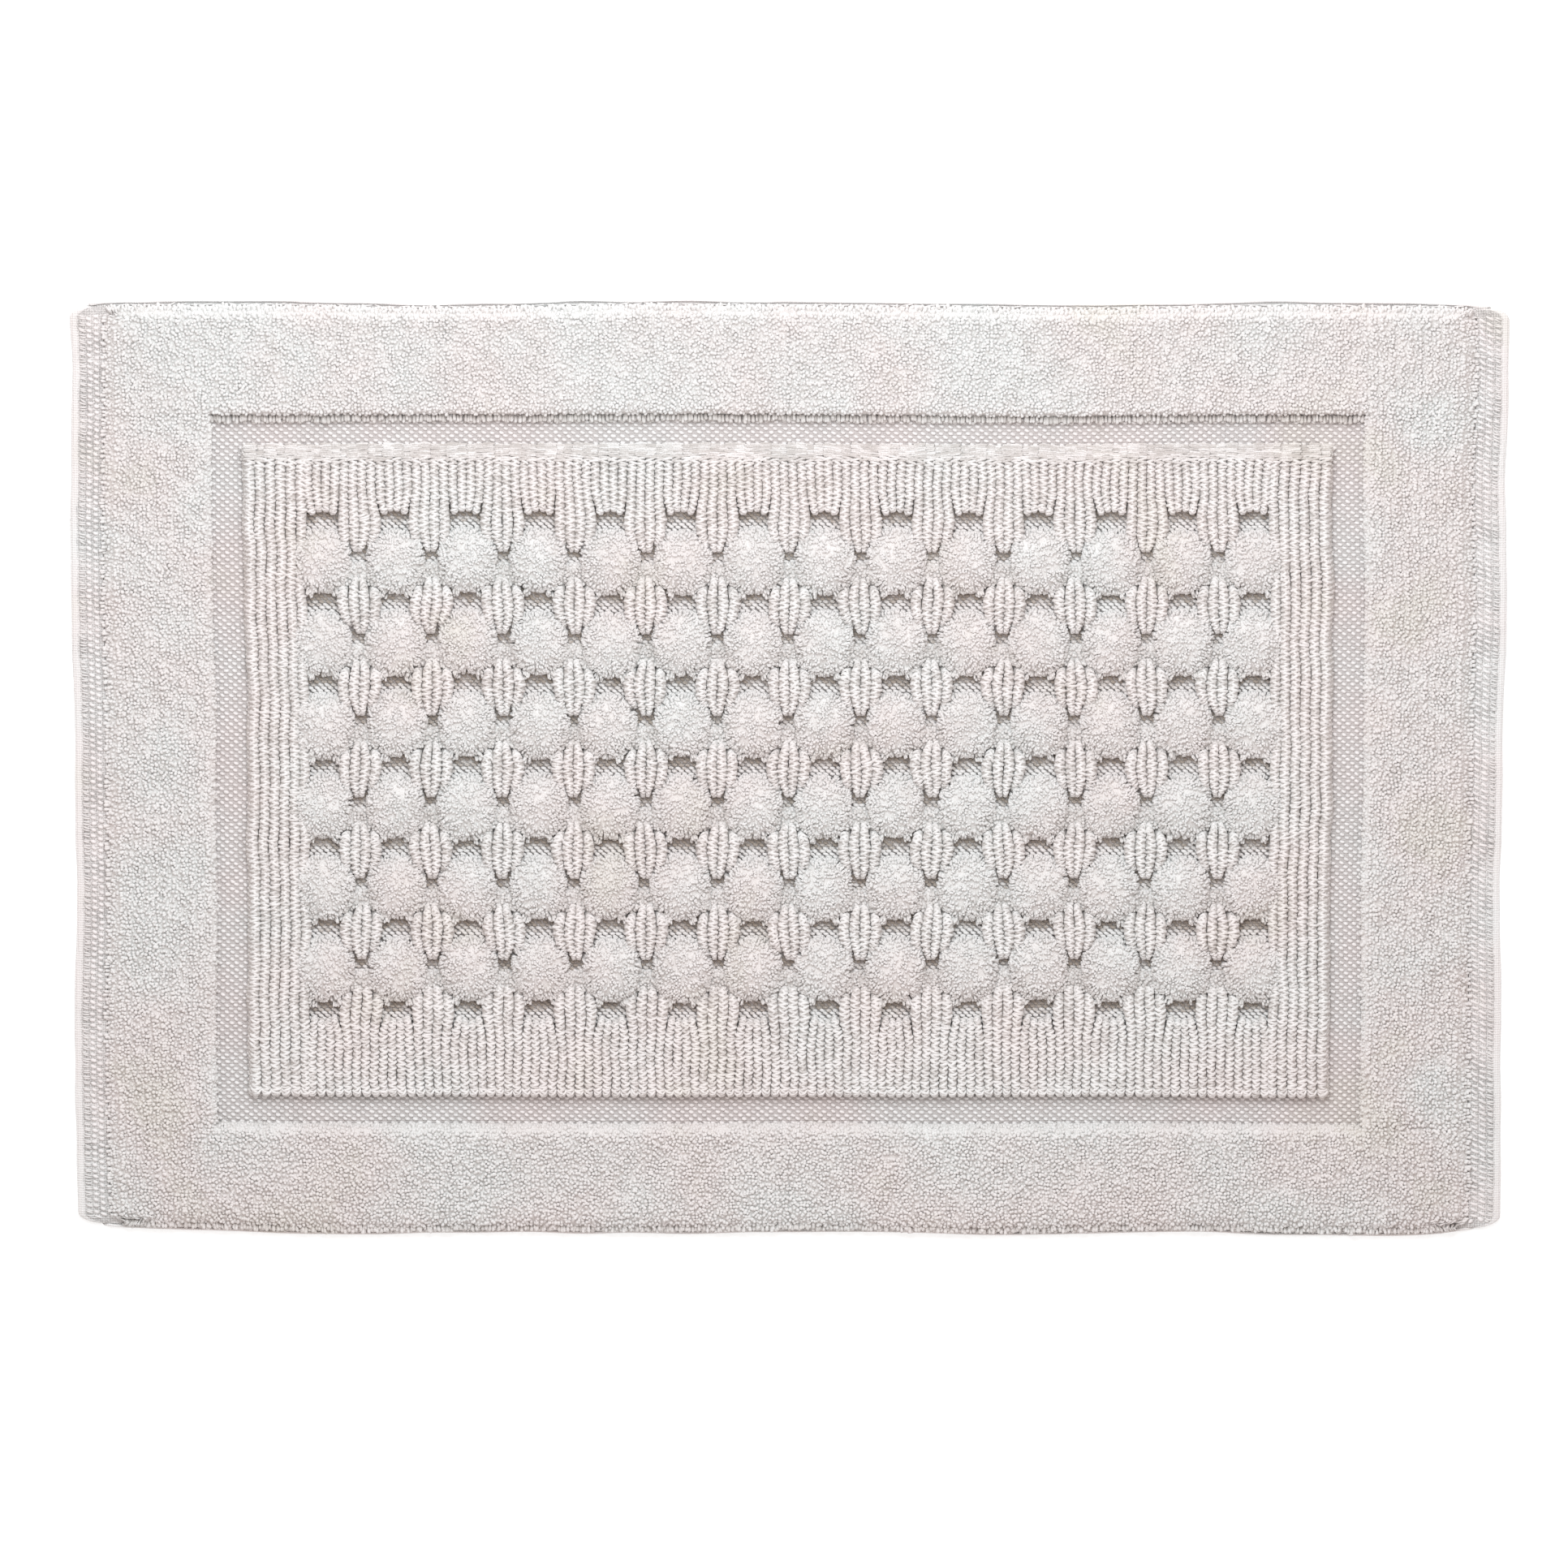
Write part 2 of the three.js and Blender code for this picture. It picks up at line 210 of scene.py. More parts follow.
def tube_faces(n, k, sides):
    """Walls and end caps of n tubes with k rings each."""
    index = np.arange(n * k * sides).reshape(n, k, sides)
    around = np.roll(index, -1, axis=2)
    walls = np.stack([index[:, :-1], around[:, :-1], around[:, 1:], index[:, 1:]], axis=-1)
    return walls.reshape(-1, 4), index[:, 0, ::-1], index[:, -1, :]


def sweep(paths, radii, reference, sides, shade):
    """A closed tube along each of many short paths: paths (n, k, 3), radii (n, k), reference (n, 3)."""
    n, k, _ = paths.shape
    tangent = unit(np.gradient(paths, axis=1))
    across = unit(np.cross(tangent, reference[:, None, :]))
    upward = np.cross(tangent, across)
    angle = 2 * math.pi * np.arange(sides) / sides
    ring = (
        across[:, :, None, :] * np.cos(angle)[:, None]
        + upward[:, :, None, :] * np.sin(angle)[:, None]
    )
    points = paths[:, :, None, :] + ring * radii[:, :, None, None]
    walls, start_caps, end_caps = tube_faces(n, k, sides)
    shades = np.repeat(np.broadcast_to(shade, (n,)), k * sides)
    return points.reshape(-1, 3), [walls, start_caps, end_caps], [], shades


def height_slab(x, y, top, bottom, shade=0.5):
    """A closed solid between two height grids, with flat walls round it."""
    rows, columns = x.shape
    upper = np.stack([x, y, top], axis=-1).reshape(-1, 3)
    lower = np.stack([x, y, np.broadcast_to(bottom, x.shape)], axis=-1).reshape(-1, 3)
    index = np.arange(rows * columns).reshape(rows, columns)
    quads = np.stack([index[:-1, :-1], index[:-1, 1:], index[1:, 1:], index[1:, :-1]], axis=-1)
    quads = quads.reshape(-1, 4)
    below = quads[:, ::-1] + rows * columns
    rim = np.concatenate([index[0, :], index[1:, -1], index[-1, -2::-1], index[-2:0:-1, 0]])
    after = np.roll(rim, -1)
    walls = np.stack([rim, rim + rows * columns, after + rows * columns, after], axis=1)
    return np.concatenate([upper, lower]), [quads], [below, walls], shade


def grid(low_x, high_x, low_y, high_y, step):
    xs = np.linspace(low_x, high_x, max(2, round((high_x - low_x) / step)) + 1)
    ys = np.linspace(low_y, high_y, max(2, round((high_y - low_y) / step)) + 1)
    return np.meshgrid(xs, ys)


def jittered_grid(low_x, high_x, low_y, high_y, spacing, rng):
    columns = max(1, round((high_x - low_x) / spacing))
    rows = max(1, round((high_y - low_y) / spacing))
    x, y = np.meshgrid(np.arange(columns) + 0.5, np.arange(rows) + 0.5)
    x = x + rng.uniform(-0.4, 0.4, x.shape)
    y = y + rng.uniform(-0.4, 0.4, y.shape)
    return (
        low_x + x.ravel() * (high_x - low_x) / columns,
        low_y + y.ravel() * (high_y - low_y) / rows,
    )


# ---- cut pile ----
def tufts(surface, normals, rng, lean_field=None, scale=1.0, tone=0.0):
    """Cut yarn ends on a pile's surface: each leans, alone and with its neighbours; its root carries
    painted shade.
    """
    n = len(surface)
    turn = ripple(surface[:, 0], surface[:, 1], 9.0, SEED + 1) * 1.5 + rng.normal(0, 1.1, n)
    flat = np.stack([np.cos(turn), np.sin(turn), np.zeros(n)], axis=1)
    lean = flat - normals * np.sum(flat * normals, axis=1, keepdims=True)
    lean *= rng.uniform(0.1, 0.85, n)[:, None]
    if lean_field is not None:
        lean = lean + lean_field
    clump = ripple(surface[:, 0], surface[:, 1], 3.4, SEED + 4)
    lift = (0.22 * clump + rng.normal(0, 0.22, n))[:, None] * scale
    root = surface - normals * TUFT_ROOT
    bend = surface - normals * (0.3 - lift) + lean * 0.6
    tip = surface + normals * (0.4 + lift) + lean * 1.2
    paths = np.stack([root, bend, tip], axis=1)
    radii = TUFT_RADIUS * scale * rng.uniform(0.85, 1.2, n)[:, None] * np.array([0.8, 1.06, 0.66])
    reference = unit(np.cross(tip - root, rng.normal(0, 1, (n, 3))))
    points, smooth, flat, _ = sweep(paths, radii, reference, TUFT_SIDES, 0.0)
    # A random tone for each tuft, with the root ring at 0 as painted shade deep in the pile; tone adds
    # the painted shade that the caller gives.
    shade = rng.uniform(0.5, 1, n)[:, None] * np.array([0.0, 0.95, 1.0])
    shade = shade + np.broadcast_to(tone, (n,))[:, None]
    return points, smooth, flat, np.repeat(shade.ravel(), TUFT_SIDES)


def border_distances(x, y):
    """Distances in from the border's sides, its ends, and the channel, which is negative inside it."""
    x, y = np.abs(x), np.abs(y)
    inner = np.hypot(np.maximum(x - CHANNEL_OUTER_X, 0), np.maximum(y - CHANNEL_OUTER_Y, 0))
    inside = (x < CHANNEL_OUTER_X) & (y < CHANNEL_OUTER_Y)
    return BORDER_HALF_X - x, BORDER_HALF_Y - y, np.where(inside, -1.0, inner)


def border_height(x, y):
    """The height of the border's tips, a little uneven."""
    to_side, to_end, to_channel = border_distances(x, y)
    end_round = np.where(y > 0, END_ROUND, FRONT_ROUND)
    share = sloped(to_side + 0.8, SIDE_SLOPE) * rounded(to_end, end_round)
    share = share * rounded(to_channel + 0.4, INNER_ROUND)
    uneven = 0.35 * ripple(x, y, 34, SEED + 2) + 0.35 * ripple(x, y, 13, SEED + 3)
    return PILE_ROOT + share * (BORDER_TOP - PILE_ROOT + uneven)


def border_normals(x, y):
    step = 0.4
    slope_x = (border_height(x + step, y) - border_height(x - step, y)) / (2 * step)
    slope_y = (border_height(x, y + step) - border_height(x, y - step)) / (2 * step)
    slope = np.stack([-slope_x, -slope_y, np.ones_like(slope_x)], axis=1)
    slope[:, :2] = np.clip(slope[:, :2], -2.0, 2.0)
    return unit(slope)


def edge_points(corners, spacing):
    """Evenly spaced points along a polyline, and the direction to its left at each."""
    points, outward = [], []
    for a, b in zip(corners[:-1], corners[1:]):
        a, b = np.array(a, float), np.array(b, float)
        length = np.linalg.norm(b - a)
        count = max(1, round(length / spacing))
        t = (np.arange(count) + 0.5) / count
        points.append(a + (b - a) * t[:, None])
        left = np.array([a[1] - b[1], b[0] - a[0]]) / length
        outward.append(np.repeat(left[None], count, axis=0))
    return np.concatenate(points), np.concatenate(outward)


def edge_tufts(corners, top, overhang, painted_foot_shade, rng):
    """Tufts that flare out of the upright face along a border edge, up to the height top."""
    points, outward = edge_points(corners, TUFT_SPACING)
    along = np.stack([-outward[:, 1], outward[:, 0]], axis=1)
    low = PILE_ROOT + 0.5
    count = round((top - low) / 1.7)
    parts = []
    for level in low + (top - low) * (np.arange(count) + 0.5) / count:
        z = level + rng.uniform(-0.7, 0.7, len(points))
        height = np.clip((z - PILE_ROOT) / (BORDER_TOP - PILE_ROOT), 0, 1)
        inset = 0.9 - overhang + 2.2 * height**2 + rng.uniform(-0.8, 0.8, len(points))
        shift = rng.uniform(-0.8, 0.8, len(points))[:, None]
        place = points - outward * inset[:, None] + along * shift
        rise = np.clip(0.15 + 0.6 * height, 0, 1)[:, None]
        facing = np.column_stack([outward, np.zeros(len(points))])
        normals = unit(facing * (1 - rise * 0.5) + UP * rise)
        # Painted shade at the face's foot, fading to nothing at the pile's top.
        parts.append(tufts(np.column_stack([place, z]), normals, rng, tone=painted_foot_shade * (1 - height)))
    return parts


def border_bar(low_x, high_x, low_y, high_y, edges, rng):
    """One bar of the border: its bed, the tufts on top and the tufts along its open edges."""
    x, y = grid(low_x, high_x, low_y, high_y, 2.4)
    top = np.maximum(border_height(x, y) - BED_BELOW_TIPS, PILE_ROOT + 0.2)
    parts = [height_slab(x, y, top, PILE_ROOT, BED_PAINTED_SHADE)]
    x, y = jittered_grid(low_x, high_x, low_y, high_y, TUFT_SPACING, rng)
    keep = np.minimum.reduce(border_distances(x, y)) > 0.5
    x, y = x[keep], y[keep]
    crest = np.where(np.abs(x) > CHANNEL_OUTER_X, SIDE_ROW_CREST, ROW_CREST)
    crest = crest * np.cos(2 * math.pi * x / GAUGE)
    surface = np.column_stack([x, y, border_height(x, y) - 0.45 + crest])
    parts.append(tufts(surface, border_normals(x, y), rng))
    for corners, face in edges:
        parts += edge_tufts(corners, *face, rng)
    return parts


# ---- pebbles ----
def bun(direction, centre, half_x, half_y, rise):
    """Points of a full, slightly egg-shaped dome for unit directions: squarer towards the front."""
    x, y, z = direction[..., 0], direction[..., 1], direction[..., 2]
    taper = 1 + 0.09 * y + 0.3 * np.minimum(y, 0) ** 2 + 0.12 * np.maximum(y, 0) ** 2
    lift = np.sign(z) * np.abs(z) ** 0.85
    return centre + np.stack([half_x * x * taper, half_y * y, rise * lift], axis=-1)


def dome_directions(count, lowest, rng):
    """Even directions over the top of a sphere, down to the height lowest, with a small jitter."""
    i = np.arange(count) + rng.uniform(0.3, 0.7, count)
    z = 1 - (1 - lowest) * i / count
    turn = math.pi * (3 - math.sqrt(5)) * i + rng.uniform(-0.3, 0.3, count)
    flat = np.sqrt(np.maximum(1 - z * z, 0))
    return np.stack([flat * np.cos(turn), flat * np.sin(turn), z], axis=1)


def dome_bed(centre, half_x, half_y, rise):
    """The closed body under a dome's tufts."""
    sides, rings = 20, 9
    polar = np.linspace(0.12, 0.62 * math.pi, rings)
    around = 2 * math.pi * np.arange(sides) / sides
    directions = np.stack(
        [
            np.sin(polar)[:, None] * np.cos(around),
            np.sin(polar)[:, None] * np.sin(around),
            np.repeat(np.cos(polar)[:, None], sides, axis=1),
        ],
        axis=-1,
    )
    points = bun(directions, centre, half_x, half_y, rise)[::-1]
    points[..., 2] = np.maximum(points[..., 2], PILE_ROOT)
    walls, bottom, top = tube_faces(1, rings, sides)
    return points.reshape(-1, 3), [walls, bottom, top], [], BED_PAINTED_SHADE


def cushion(centre_x, centre_y, half_x, half_y, top, count, rng):
    """A dome of cut pile: its body, tufts that lean outwards and swirl a little, and its corners."""
    root = np.array([centre_x, centre_y, PILE_ROOT + 2.0])
    rise = top - root[2]
    bed = dome_bed(root, half_x - 2.0, half_y - 2.0, rise - 1.8)
    directions = dome_directions(count, -0.12, rng)
    surface = bun(directions, root, half_x - 0.45, half_y - 0.45, rise - 0.45)
    normals = unit(directions / np.array([half_x, half_y, rise]))
    swirl = ripple(surface[:, 0], surface[:, 1], 9.0, SEED + 5)[:, None]
    side = np.cross(normals, UP)
    outward = normals * np.array([1, 1, 0])
    lean = outward * 0.35 + side * 0.45 * swirl + np.array([0, -0.12, 0])
    # Painted shade towards the dome's foot, strong on the front and faint on the back.
    tone = FLANK_PAINTED_SHADE * (1 - directions[:, 2]) * np.where(directions[:, 1] < 0, 1.0, 0.1)
    pile = tufts(surface, normals, rng, lean, PEBBLE_TUFT_SCALE, tone)
    return [bed, pile, foot(centre_x, centre_y - half_y, rng)]


def foot(x, y, rng):
    """The pile that spreads into the pocket in front of a pebble, at its two corners."""
    side = np.repeat([-1.0, 1.0], FOOT_TUFTS)
    n = len(side)
    across = side * rng.uniform(5.0, 8.6, n)
    along = -rng.uniform(-2.5, 2.6, n)
    up = rng.uniform(-1.2, 1.2, n)
    surface = np.column_stack([x + across, y + along, PILE_ROOT + 5.6 - 0.9 * np.abs(along) + up])
    normals = unit(np.column_stack([side * 0.25, np.full(n, -0.8), np.full(n, 0.75)]))
    # These tufts are darkened with painted shade.
    return tufts(surface, normals, rng, scale=PEBBLE_TUFT_SCALE, tone=FOOT_PAINTED_SHADE)


def half_of_row(places, side):
    """The places on one side of the middle line, which itself belongs to the right."""
    return places[(places > -0.1) if side > 0 else (places <= -0.1)]


def pebble_row(row, side, rng):
    """One half of a row of pebbles, with the cut pile that joins them."""
    parts = []
    for x in half_of_row(COLUMN_X, side):
        wander = rng.normal(0, 0.4, 2)
        size = rng.uniform(0.97, 1.04)
        y = ROW_Y[row] + PEBBLE_SHIFT + wander[1]
        half_x, half_y = PEBBLE_HALF_X * size, PEBBLE_HALF_Y * size
        top = PEBBLE_TOP + rng.normal(0, 0.25)
        parts += cushion(x + wander[0], y, half_x, half_y, top, PEBBLE_TUFTS, rng)
    for x in half_of_row(GAP_X, side):
        parts += saddle(x, ROW_Y[row], rng)
    return parts


def saddle_height(across, along):
    """The cut pile that joins two pebbles: low in the middle, rising to both, falling to the back."""
    rise = SADDLE_TOP + 2.6 * (across / SADDLE_HALF_X) ** 2
    from_back = rounded(SADDLE_BACK - along + 0.3, 4.5)
    from_front = 0.35 + 0.65 * rounded(along - SADDLE_FRONT + 0.3, 4.0)
    return PILE_ROOT + (rise - PILE_ROOT) * (from_back * from_front)


def saddle(x, row_y, rng):
    """The cut pile between two pebbles of a row."""
    across, along = grid(-SADDLE_HALF_X, SADDLE_HALF_X, SADDLE_FRONT, SADDLE_BACK, 1.6)
    top = np.maximum(saddle_height(across, along) - BED_BELOW_TIPS, PILE_ROOT + 0.2)
    bed = height_slab(across + x, along + row_y, top, PILE_ROOT, BED_PAINTED_SHADE)
    across, along = jittered_grid(
        -SADDLE_HALF_X, SADDLE_HALF_X, SADDLE_FRONT, SADDLE_BACK, SADDLE_TUFT_SPACING, rng
    )
    surface = np.column_stack([across + x, along + row_y, saddle_height(across, along) - 0.45])
    step = 0.4
    slope = (saddle_height(across, along + step) - saddle_height(across, along - step)) / (2 * step)
    normals = unit(np.column_stack([-across * 0.04, -np.clip(slope, -1.5, 1.5), np.ones(len(across))]))
    # The saddle's tufts carry painted shade.
    return [bed, tufts(surface, normals, rng, tone=SADDLE_PAINTED_SHADE)]


# ---- loop ribs ----
class Rib:
    """One row of loops: where it runs, how wide and how high it is, and how its ends round down."""

    def __init__(self, x_of, half_of, top_of, start, end, start_round=4.0, end_round=3.0, band=0.0):
        """band is how deep the rib flattens and slopes down at its start, or 0 for a round start."""
        if band:
            start = start - math.copysign(0.5 + 0.5 * math.sin(x_of(np.array([start]))[0] * 1.7), start)
        count = max(6, int(abs(start - end) / 0.8))
        y = np.linspace(start, end, count)
        x = x_of(y)
        self.x = x + 0.34 * ripple(x * 0.3, y, 26, SEED + 11) + 0.1 * ripple(x * 3, y, 12, SEED + 12)
        self.y = y
        from_start = np.abs(y - start) + 0.3
        first = sloped(from_start, band) if band else rounded(from_start, start_round)
        last = rounded(np.abs(y - end) + 0.3, end_round)
        share = first * last
        self.relief = np.clip(2.2 * from_start / band - 1.3, 0.12, 1.0) if band else np.ones(count)
        self.half = half_of(y) * (1 - RIB_END_TAPER * (1 - (last if band else share)))
        crest = top_of(y) * np.ones(count) + 0.2 * ripple(x, y, 18, SEED + 13)
        self.z = PILE_ROOT + (crest - PILE_ROOT) * share

    def core(self):
        """The filled body under the loops: a tall oval section from the root to the crease."""
        step = max(1, len(self.y) // max(3, int(len(self.y) / 4)))
        keep = np.unique(np.append(np.arange(0, len(self.y), step), len(self.y) - 1))
        x, y, z, half = self.x[keep], self.y[keep], self.z[keep], self.half[keep]
        top = np.maximum(z - 1.3, PILE_ROOT + 0.3)
        middle, tall = (top + PILE_ROOT) / 2, (top - PILE_ROOT) / 2
        angle = 2 * math.pi * (np.arange(CORE_SIDES) + 0.5) / CORE_SIDES
        points = np.stack(
            [
                x[:, None] + (half * 1.06)[:, None] * np.cos(angle),
                np.repeat(y[:, None], CORE_SIDES, axis=1),
                middle[:, None] + tall[:, None] * np.sin(angle),
            ],
            axis=-1,
        )
        faces = list(tube_faces(1, len(keep), CORE_SIDES))
        if self.y[0] < self.y[-1]:
            faces = [array[:, ::-1] for array in faces]
        # The core's tone is painted shade in the crease between ribs.
        return points.reshape(-1, 3), faces, [], CORE_PAINTED_SHADE

    def loops(self, rng):
        """Yarn arches across the rib, turned one way and then the other."""
        path = np.column_stack([self.x, self.y, self.z - LOOP_YARN])
        steps = np.linalg.norm(np.diff(path, axis=0), axis=1)
        along = np.concatenate([[0], np.cumsum(steps)])
        count = max(2, round(along[-1] / LOOP_PITCH))
        at = along[-1] * (np.arange(count) + 0.5) / count + rng.uniform(-0.2, 0.2, count)

        def at_place(places):
            return np.stack([np.interp(places, along, path[:, k]) for k in range(3)], axis=1)

        crest = at_place(at) + UP * rng.normal(0, 0.13, (count, 1))
        forward = unit(at_place(at + 0.6) - at_place(at - 0.6))
        across = unit(np.cross(forward, UP))
        outward = np.cross(across, forward)
        zigzag = np.where(np.arange(count) % 2, 1.0, -1.0)
        relief = np.interp(at, along, self.relief)
        turn = ((zigzag * LOOP_TURN + rng.normal(0, 0.2, count)) * relief)[:, None]
        across = unit(across + forward * turn)
        half = np.interp(at, along, self.half) - LOOP_YARN * 0.55
        half = half * rng.uniform(0.92, 1.12, count) + 1.1 * (1 - relief)
        rise = LOOP_RISE * relief * rng.uniform(0.9, 1.1, count)
        slip = (zigzag * 0.28 + rng.normal(0, 0.14, count))[:, None]
        angle = np.linspace(-0.35, math.pi + 0.35, 6)
        paths = (
            crest[:, None, :]
            + across[:, None, :] * (half[:, None] * np.cos(angle) + slip)[:, :, None]
            + outward[:, None, :] * (rise[:, None] * (np.sin(angle) - 1))[:, :, None]
        )
        radii = LOOP_YARN * rng.uniform(0.88, 1.12, count)[:, None] * np.ones(len(angle))
        plane = unit(np.cross(across, outward))
        # The flat loops of the back slope get painted shade to tone down their lit brightness.
        shade = rng.uniform(0, 1, count) + BAND_PAINTED_SHADE * (1 - relief)
        return sweep(paths, radii, plane, LOOP_SIDES, shade)

    def parts(self, rng):
        return [self.core(), self.loops(rng)]


def plain(value):
    return lambda y: np.full_like(y, value)


def group_rib(x, offset, half, places, spread, top_of, start, end, start_round, end_round, band=0.0):
    """A rib whose distance from its group's middle x, and width, follow spread along y."""
    return Rib(
        lambda y: x + offset * GAUGE * curve_of(y, places, spread),
        lambda y: half * curve_of(y, places, spread),
        top_of, start, end, start_round, end_round, band,
    )


def margin_end(back, side, rng):
    """One half of the back or front margin: every rib from the panel's edge in to the first pockets."""
    sign = 1 if back else -1
    edge = sign * PANEL_HALF_Y
    edge_round = 3.5
    band = BAND_DEPTH if back else 0.0
    pocket = POCKET_BACK_Y if back else POCKET_FRONT_Y
    row_y = ROW_Y[0] if back else ROW_Y[-1]
    tip = row_y + 5.0 if back else row_y - 9.0
    half = GAUGE / 2
    ribs = []
    places = [pocket + sign * 40, pocket + sign * 15, pocket, (pocket + tip) / 2, tip]
    spread = [1.0, 1.0, 1.2, 1.1, 0.45] if back else [1.0, 1.0, 1.2, 1.14, 0.86]

    def top_of(y):
        return LOOP_TOP - 1.5 * np.clip(1 - np.abs(y - tip) / 12, 0, 1)

    for x in half_of_row(GAP_X, side):
        for offset in RIB_OFFSETS:
            outer = abs(offset) > 1
            end = tip + sign * (3.5 if outer else 0.0)
            rounds = (edge_round, 8.0 if outer else 4.5)
            ribs.append(group_rib(x, offset, half, places, spread, top_of, edge, end, *rounds, band))
    places = [pocket + sign * 40, pocket + sign * 15, pocket + sign * 4]
    spread = [1.0, 1.0, 0.74]
    for x in half_of_row(COLUMN_X, side):
        for offset in RIB_OFFSETS:
            end = pocket + sign * (5.0 if abs(offset) < 1 else 3.4)
            rounds = (edge_round, 3.0)
            ribs.append(
                group_rib(x, offset, half, places, spread, plain(LOOP_TOP), edge, end, *rounds, band)
            )
    ribs += side_ribs(side, edge, margin_cut(sign), edge_round, 0.1, band)
    return [part for rib in ribs for part in rib.parts(rng)]


def margin_cut(sign):
    """Where a side margin meets the back (sign 1) or front (sign -1) margin."""
    return (POCKET_BACK_Y if sign > 0 else POCKET_FRONT_Y) + sign * 5.0


def pebble_wave(y):
    """1 beside a pebble, 0 beside a pocket, and 0 past the first and last rows."""
    wave = 0.5 * (1 + np.cos(2 * math.pi * (y - ROW_Y[0]) / ROW_PITCH))
    return wave * (y < POCKET_BACK_Y) * (y > POCKET_FRONT_Y)


def side_ribs(side, start, end, start_round, end_round, band=0.0):
    """The ribs down one side of the panel, its rounded flank, and the rib that follows the pebbles."""
    half = SIDE_RIB_PITCH / 2
    outermost = PANEL_HALF_X - half - 0.6
    run = (start, end, start_round, end_round, band)
    ribs = []
    for number in range(SIDE_RIBS):
        x = side * (outermost - number * SIDE_RIB_PITCH)
        ribs.append(Rib(plain(x), plain(half), plain(LOOP_TOP), *run))
    for shift, drop in ((1.3, 2.8), (1.9, 5.4)):
        x = side * (outermost + shift)
        ribs.append(Rib(plain(x), plain(half * 0.8), plain(LOOP_TOP - drop), *run))
    inner = outermost - SIDE_RIBS * SIDE_RIB_PITCH
    ribs.append(
        Rib(
            lambda y: side * (inner + 1.2 * pebble_wave(y)),
            lambda y: half * (1.0 - 0.15 * pebble_wave(y)),
            lambda y: LOOP_TOP - 2.0 * pebble_wave(y),
            *run,
        )
    )
    return ribs


def margin_side(side, rng):
    ribs = side_ribs(side, margin_cut(1), margin_cut(-1), 0.1, 0.1)
    return [part for rib in ribs for part in rib.parts(rng)]


def lozenge_row(row, rng):
    """The ribbed lozenges below one pebble row: four ribs that belly out and run to a point."""
    back_end = ROW_Y[row] - 8.0
    front_end = ROW_Y[row + 1] + 5.0
    length = back_end - front_end
    places = [back_end - length * t for t in (0, 0.2, 0.42, 0.7, 1)]
    spread = [0.6, 1.04, 1.24, 1.06, 0.4]

    def top_of(y):
        t = (back_end - y) / length
        return LOOP_TOP + 0.5 - 2.2 * np.clip(np.abs(t - 0.42) * 2 - 0.35, 0, 1) ** 1.5

    parts = []
    for x in GAP_X:
        for offset in RIB_OFFSETS:
            outer = abs(offset) > 1
            start = back_end - (5.0 if outer else 0.0)
            end = front_end + (4.2 if outer else 0.0)
            rounds = (5.0, 9.0 if outer else 5.0)
            rib = group_rib(x, offset, GAUGE / 2, places, spread, top_of, start, end, *rounds)
            parts += rib.parts(rng)
    return parts


# ---- ground weave ----
def yarn_floats(x, y, z, slant, half_length, radius, rng, dip=0.8, tone=0.0):
    """Short raised yarns that dive back into the cloth at both ends."""
    n = len(x)
    x = x + rng.normal(0, 0.16, n)
    y = y + rng.normal(0, 0.12, n)
    tilt = slant + rng.normal(0, 0.12, n)
    along = np.stack([np.cos(tilt), -np.sin(tilt), np.zeros(n)], axis=1)
    half = half_length * rng.uniform(0.88, 1.12, n)
    shares = np.array([-1.0, -0.55, 0.0, 0.55, 1.0])
    heights = dip * np.array([-1.0, -0.15, 0.0, -0.15, -1.0])
    centre = np.column_stack([x, y, np.broadcast_to(z, (n,))])
    paths = (
        centre[:, None, :]
        + along[:, None, :] * (half[:, None] * shares)[:, :, None]
        + UP * heights[None, :, None]
    )
    radii = radius * rng.uniform(0.9, 1.1, n)[:, None] * np.array([0.55, 0.95, 1.0, 0.95, 0.55])
    return sweep(paths, radii, np.tile(UP, (n, 1)), 5, rng.uniform(0, 1, n) + tone)


def staggered(low_x, high_x, low_y, high_y, pitch_x, pitch_y):
    """Places of a staggered pattern that keeps its phase over the whole cloth."""
    i = np.arange(math.ceil(low_x / pitch_x) - 1, math.floor(high_x / pitch_x) + 2)
    j = np.arange(math.ceil(2 * low_y / pitch_y) - 1, math.floor(2 * high_y / pitch_y) + 2)
    i, j = (array.ravel() for array in np.meshgrid(i, j))
    x = (i + 0.5 * (j % 2)) * pitch_x
    y = j * pitch_y / 2
    keep = (x > low_x) & (x < high_x) & (y > low_y) & (y < high_y)
    return x[keep], y[keep]


def weave(low_x, high_x, low_y, high_y, rng):
    x, y = staggered(low_x, high_x, low_y, high_y, FLOAT_PITCH_X, FLOAT_PITCH_Y)
    return yarn_floats(x, y, GROUND_TOP + 0.1, 0.3, 1.15, 0.95, rng)


def pocket_floats(low_x, high_x, low_y, high_y, rng):
    """The same weave at a pocket's bottom: low, with painted shadow at its back, raised and painted
    lighter at its front.
    """
    x, y = staggered(low_x, high_x, low_y, high_y, 0.75 * FLOAT_PITCH_X, 0.8 * FLOAT_PITCH_Y)
    front = np.clip((high_y - y) / (high_y - low_y) * 2.4 - 0.75, 0, 1)
    z = GROUND_TOP - 0.3 + 1.8 * front
    # The tone is painted shadow at the back, under the pebble or ribs behind, and painted light at the
    # front.
    return yarn_floats(x, y, z, 0.3, 1.35, 1.05, rng, tone=1.7 * front - 1.2)


def channel_weave(rng):
    parts = []
    reach_x, reach_y = CHANNEL_OUTER_X + 2.0, CHANNEL_OUTER_Y + 2.0
    for sign in (-1, 1):
        low, high = sorted((sign * (PANEL_HALF_Y - 1.0), sign * reach_y))
        parts.append(weave(-reach_x, reach_x, low, high, rng))
        low, high = sorted((sign * (PANEL_HALF_X - 1.0), sign * reach_x))
        parts.append(weave(low, high, -PANEL_HALF_Y + 1.0, PANEL_HALF_Y - 1.0, rng))
    return parts


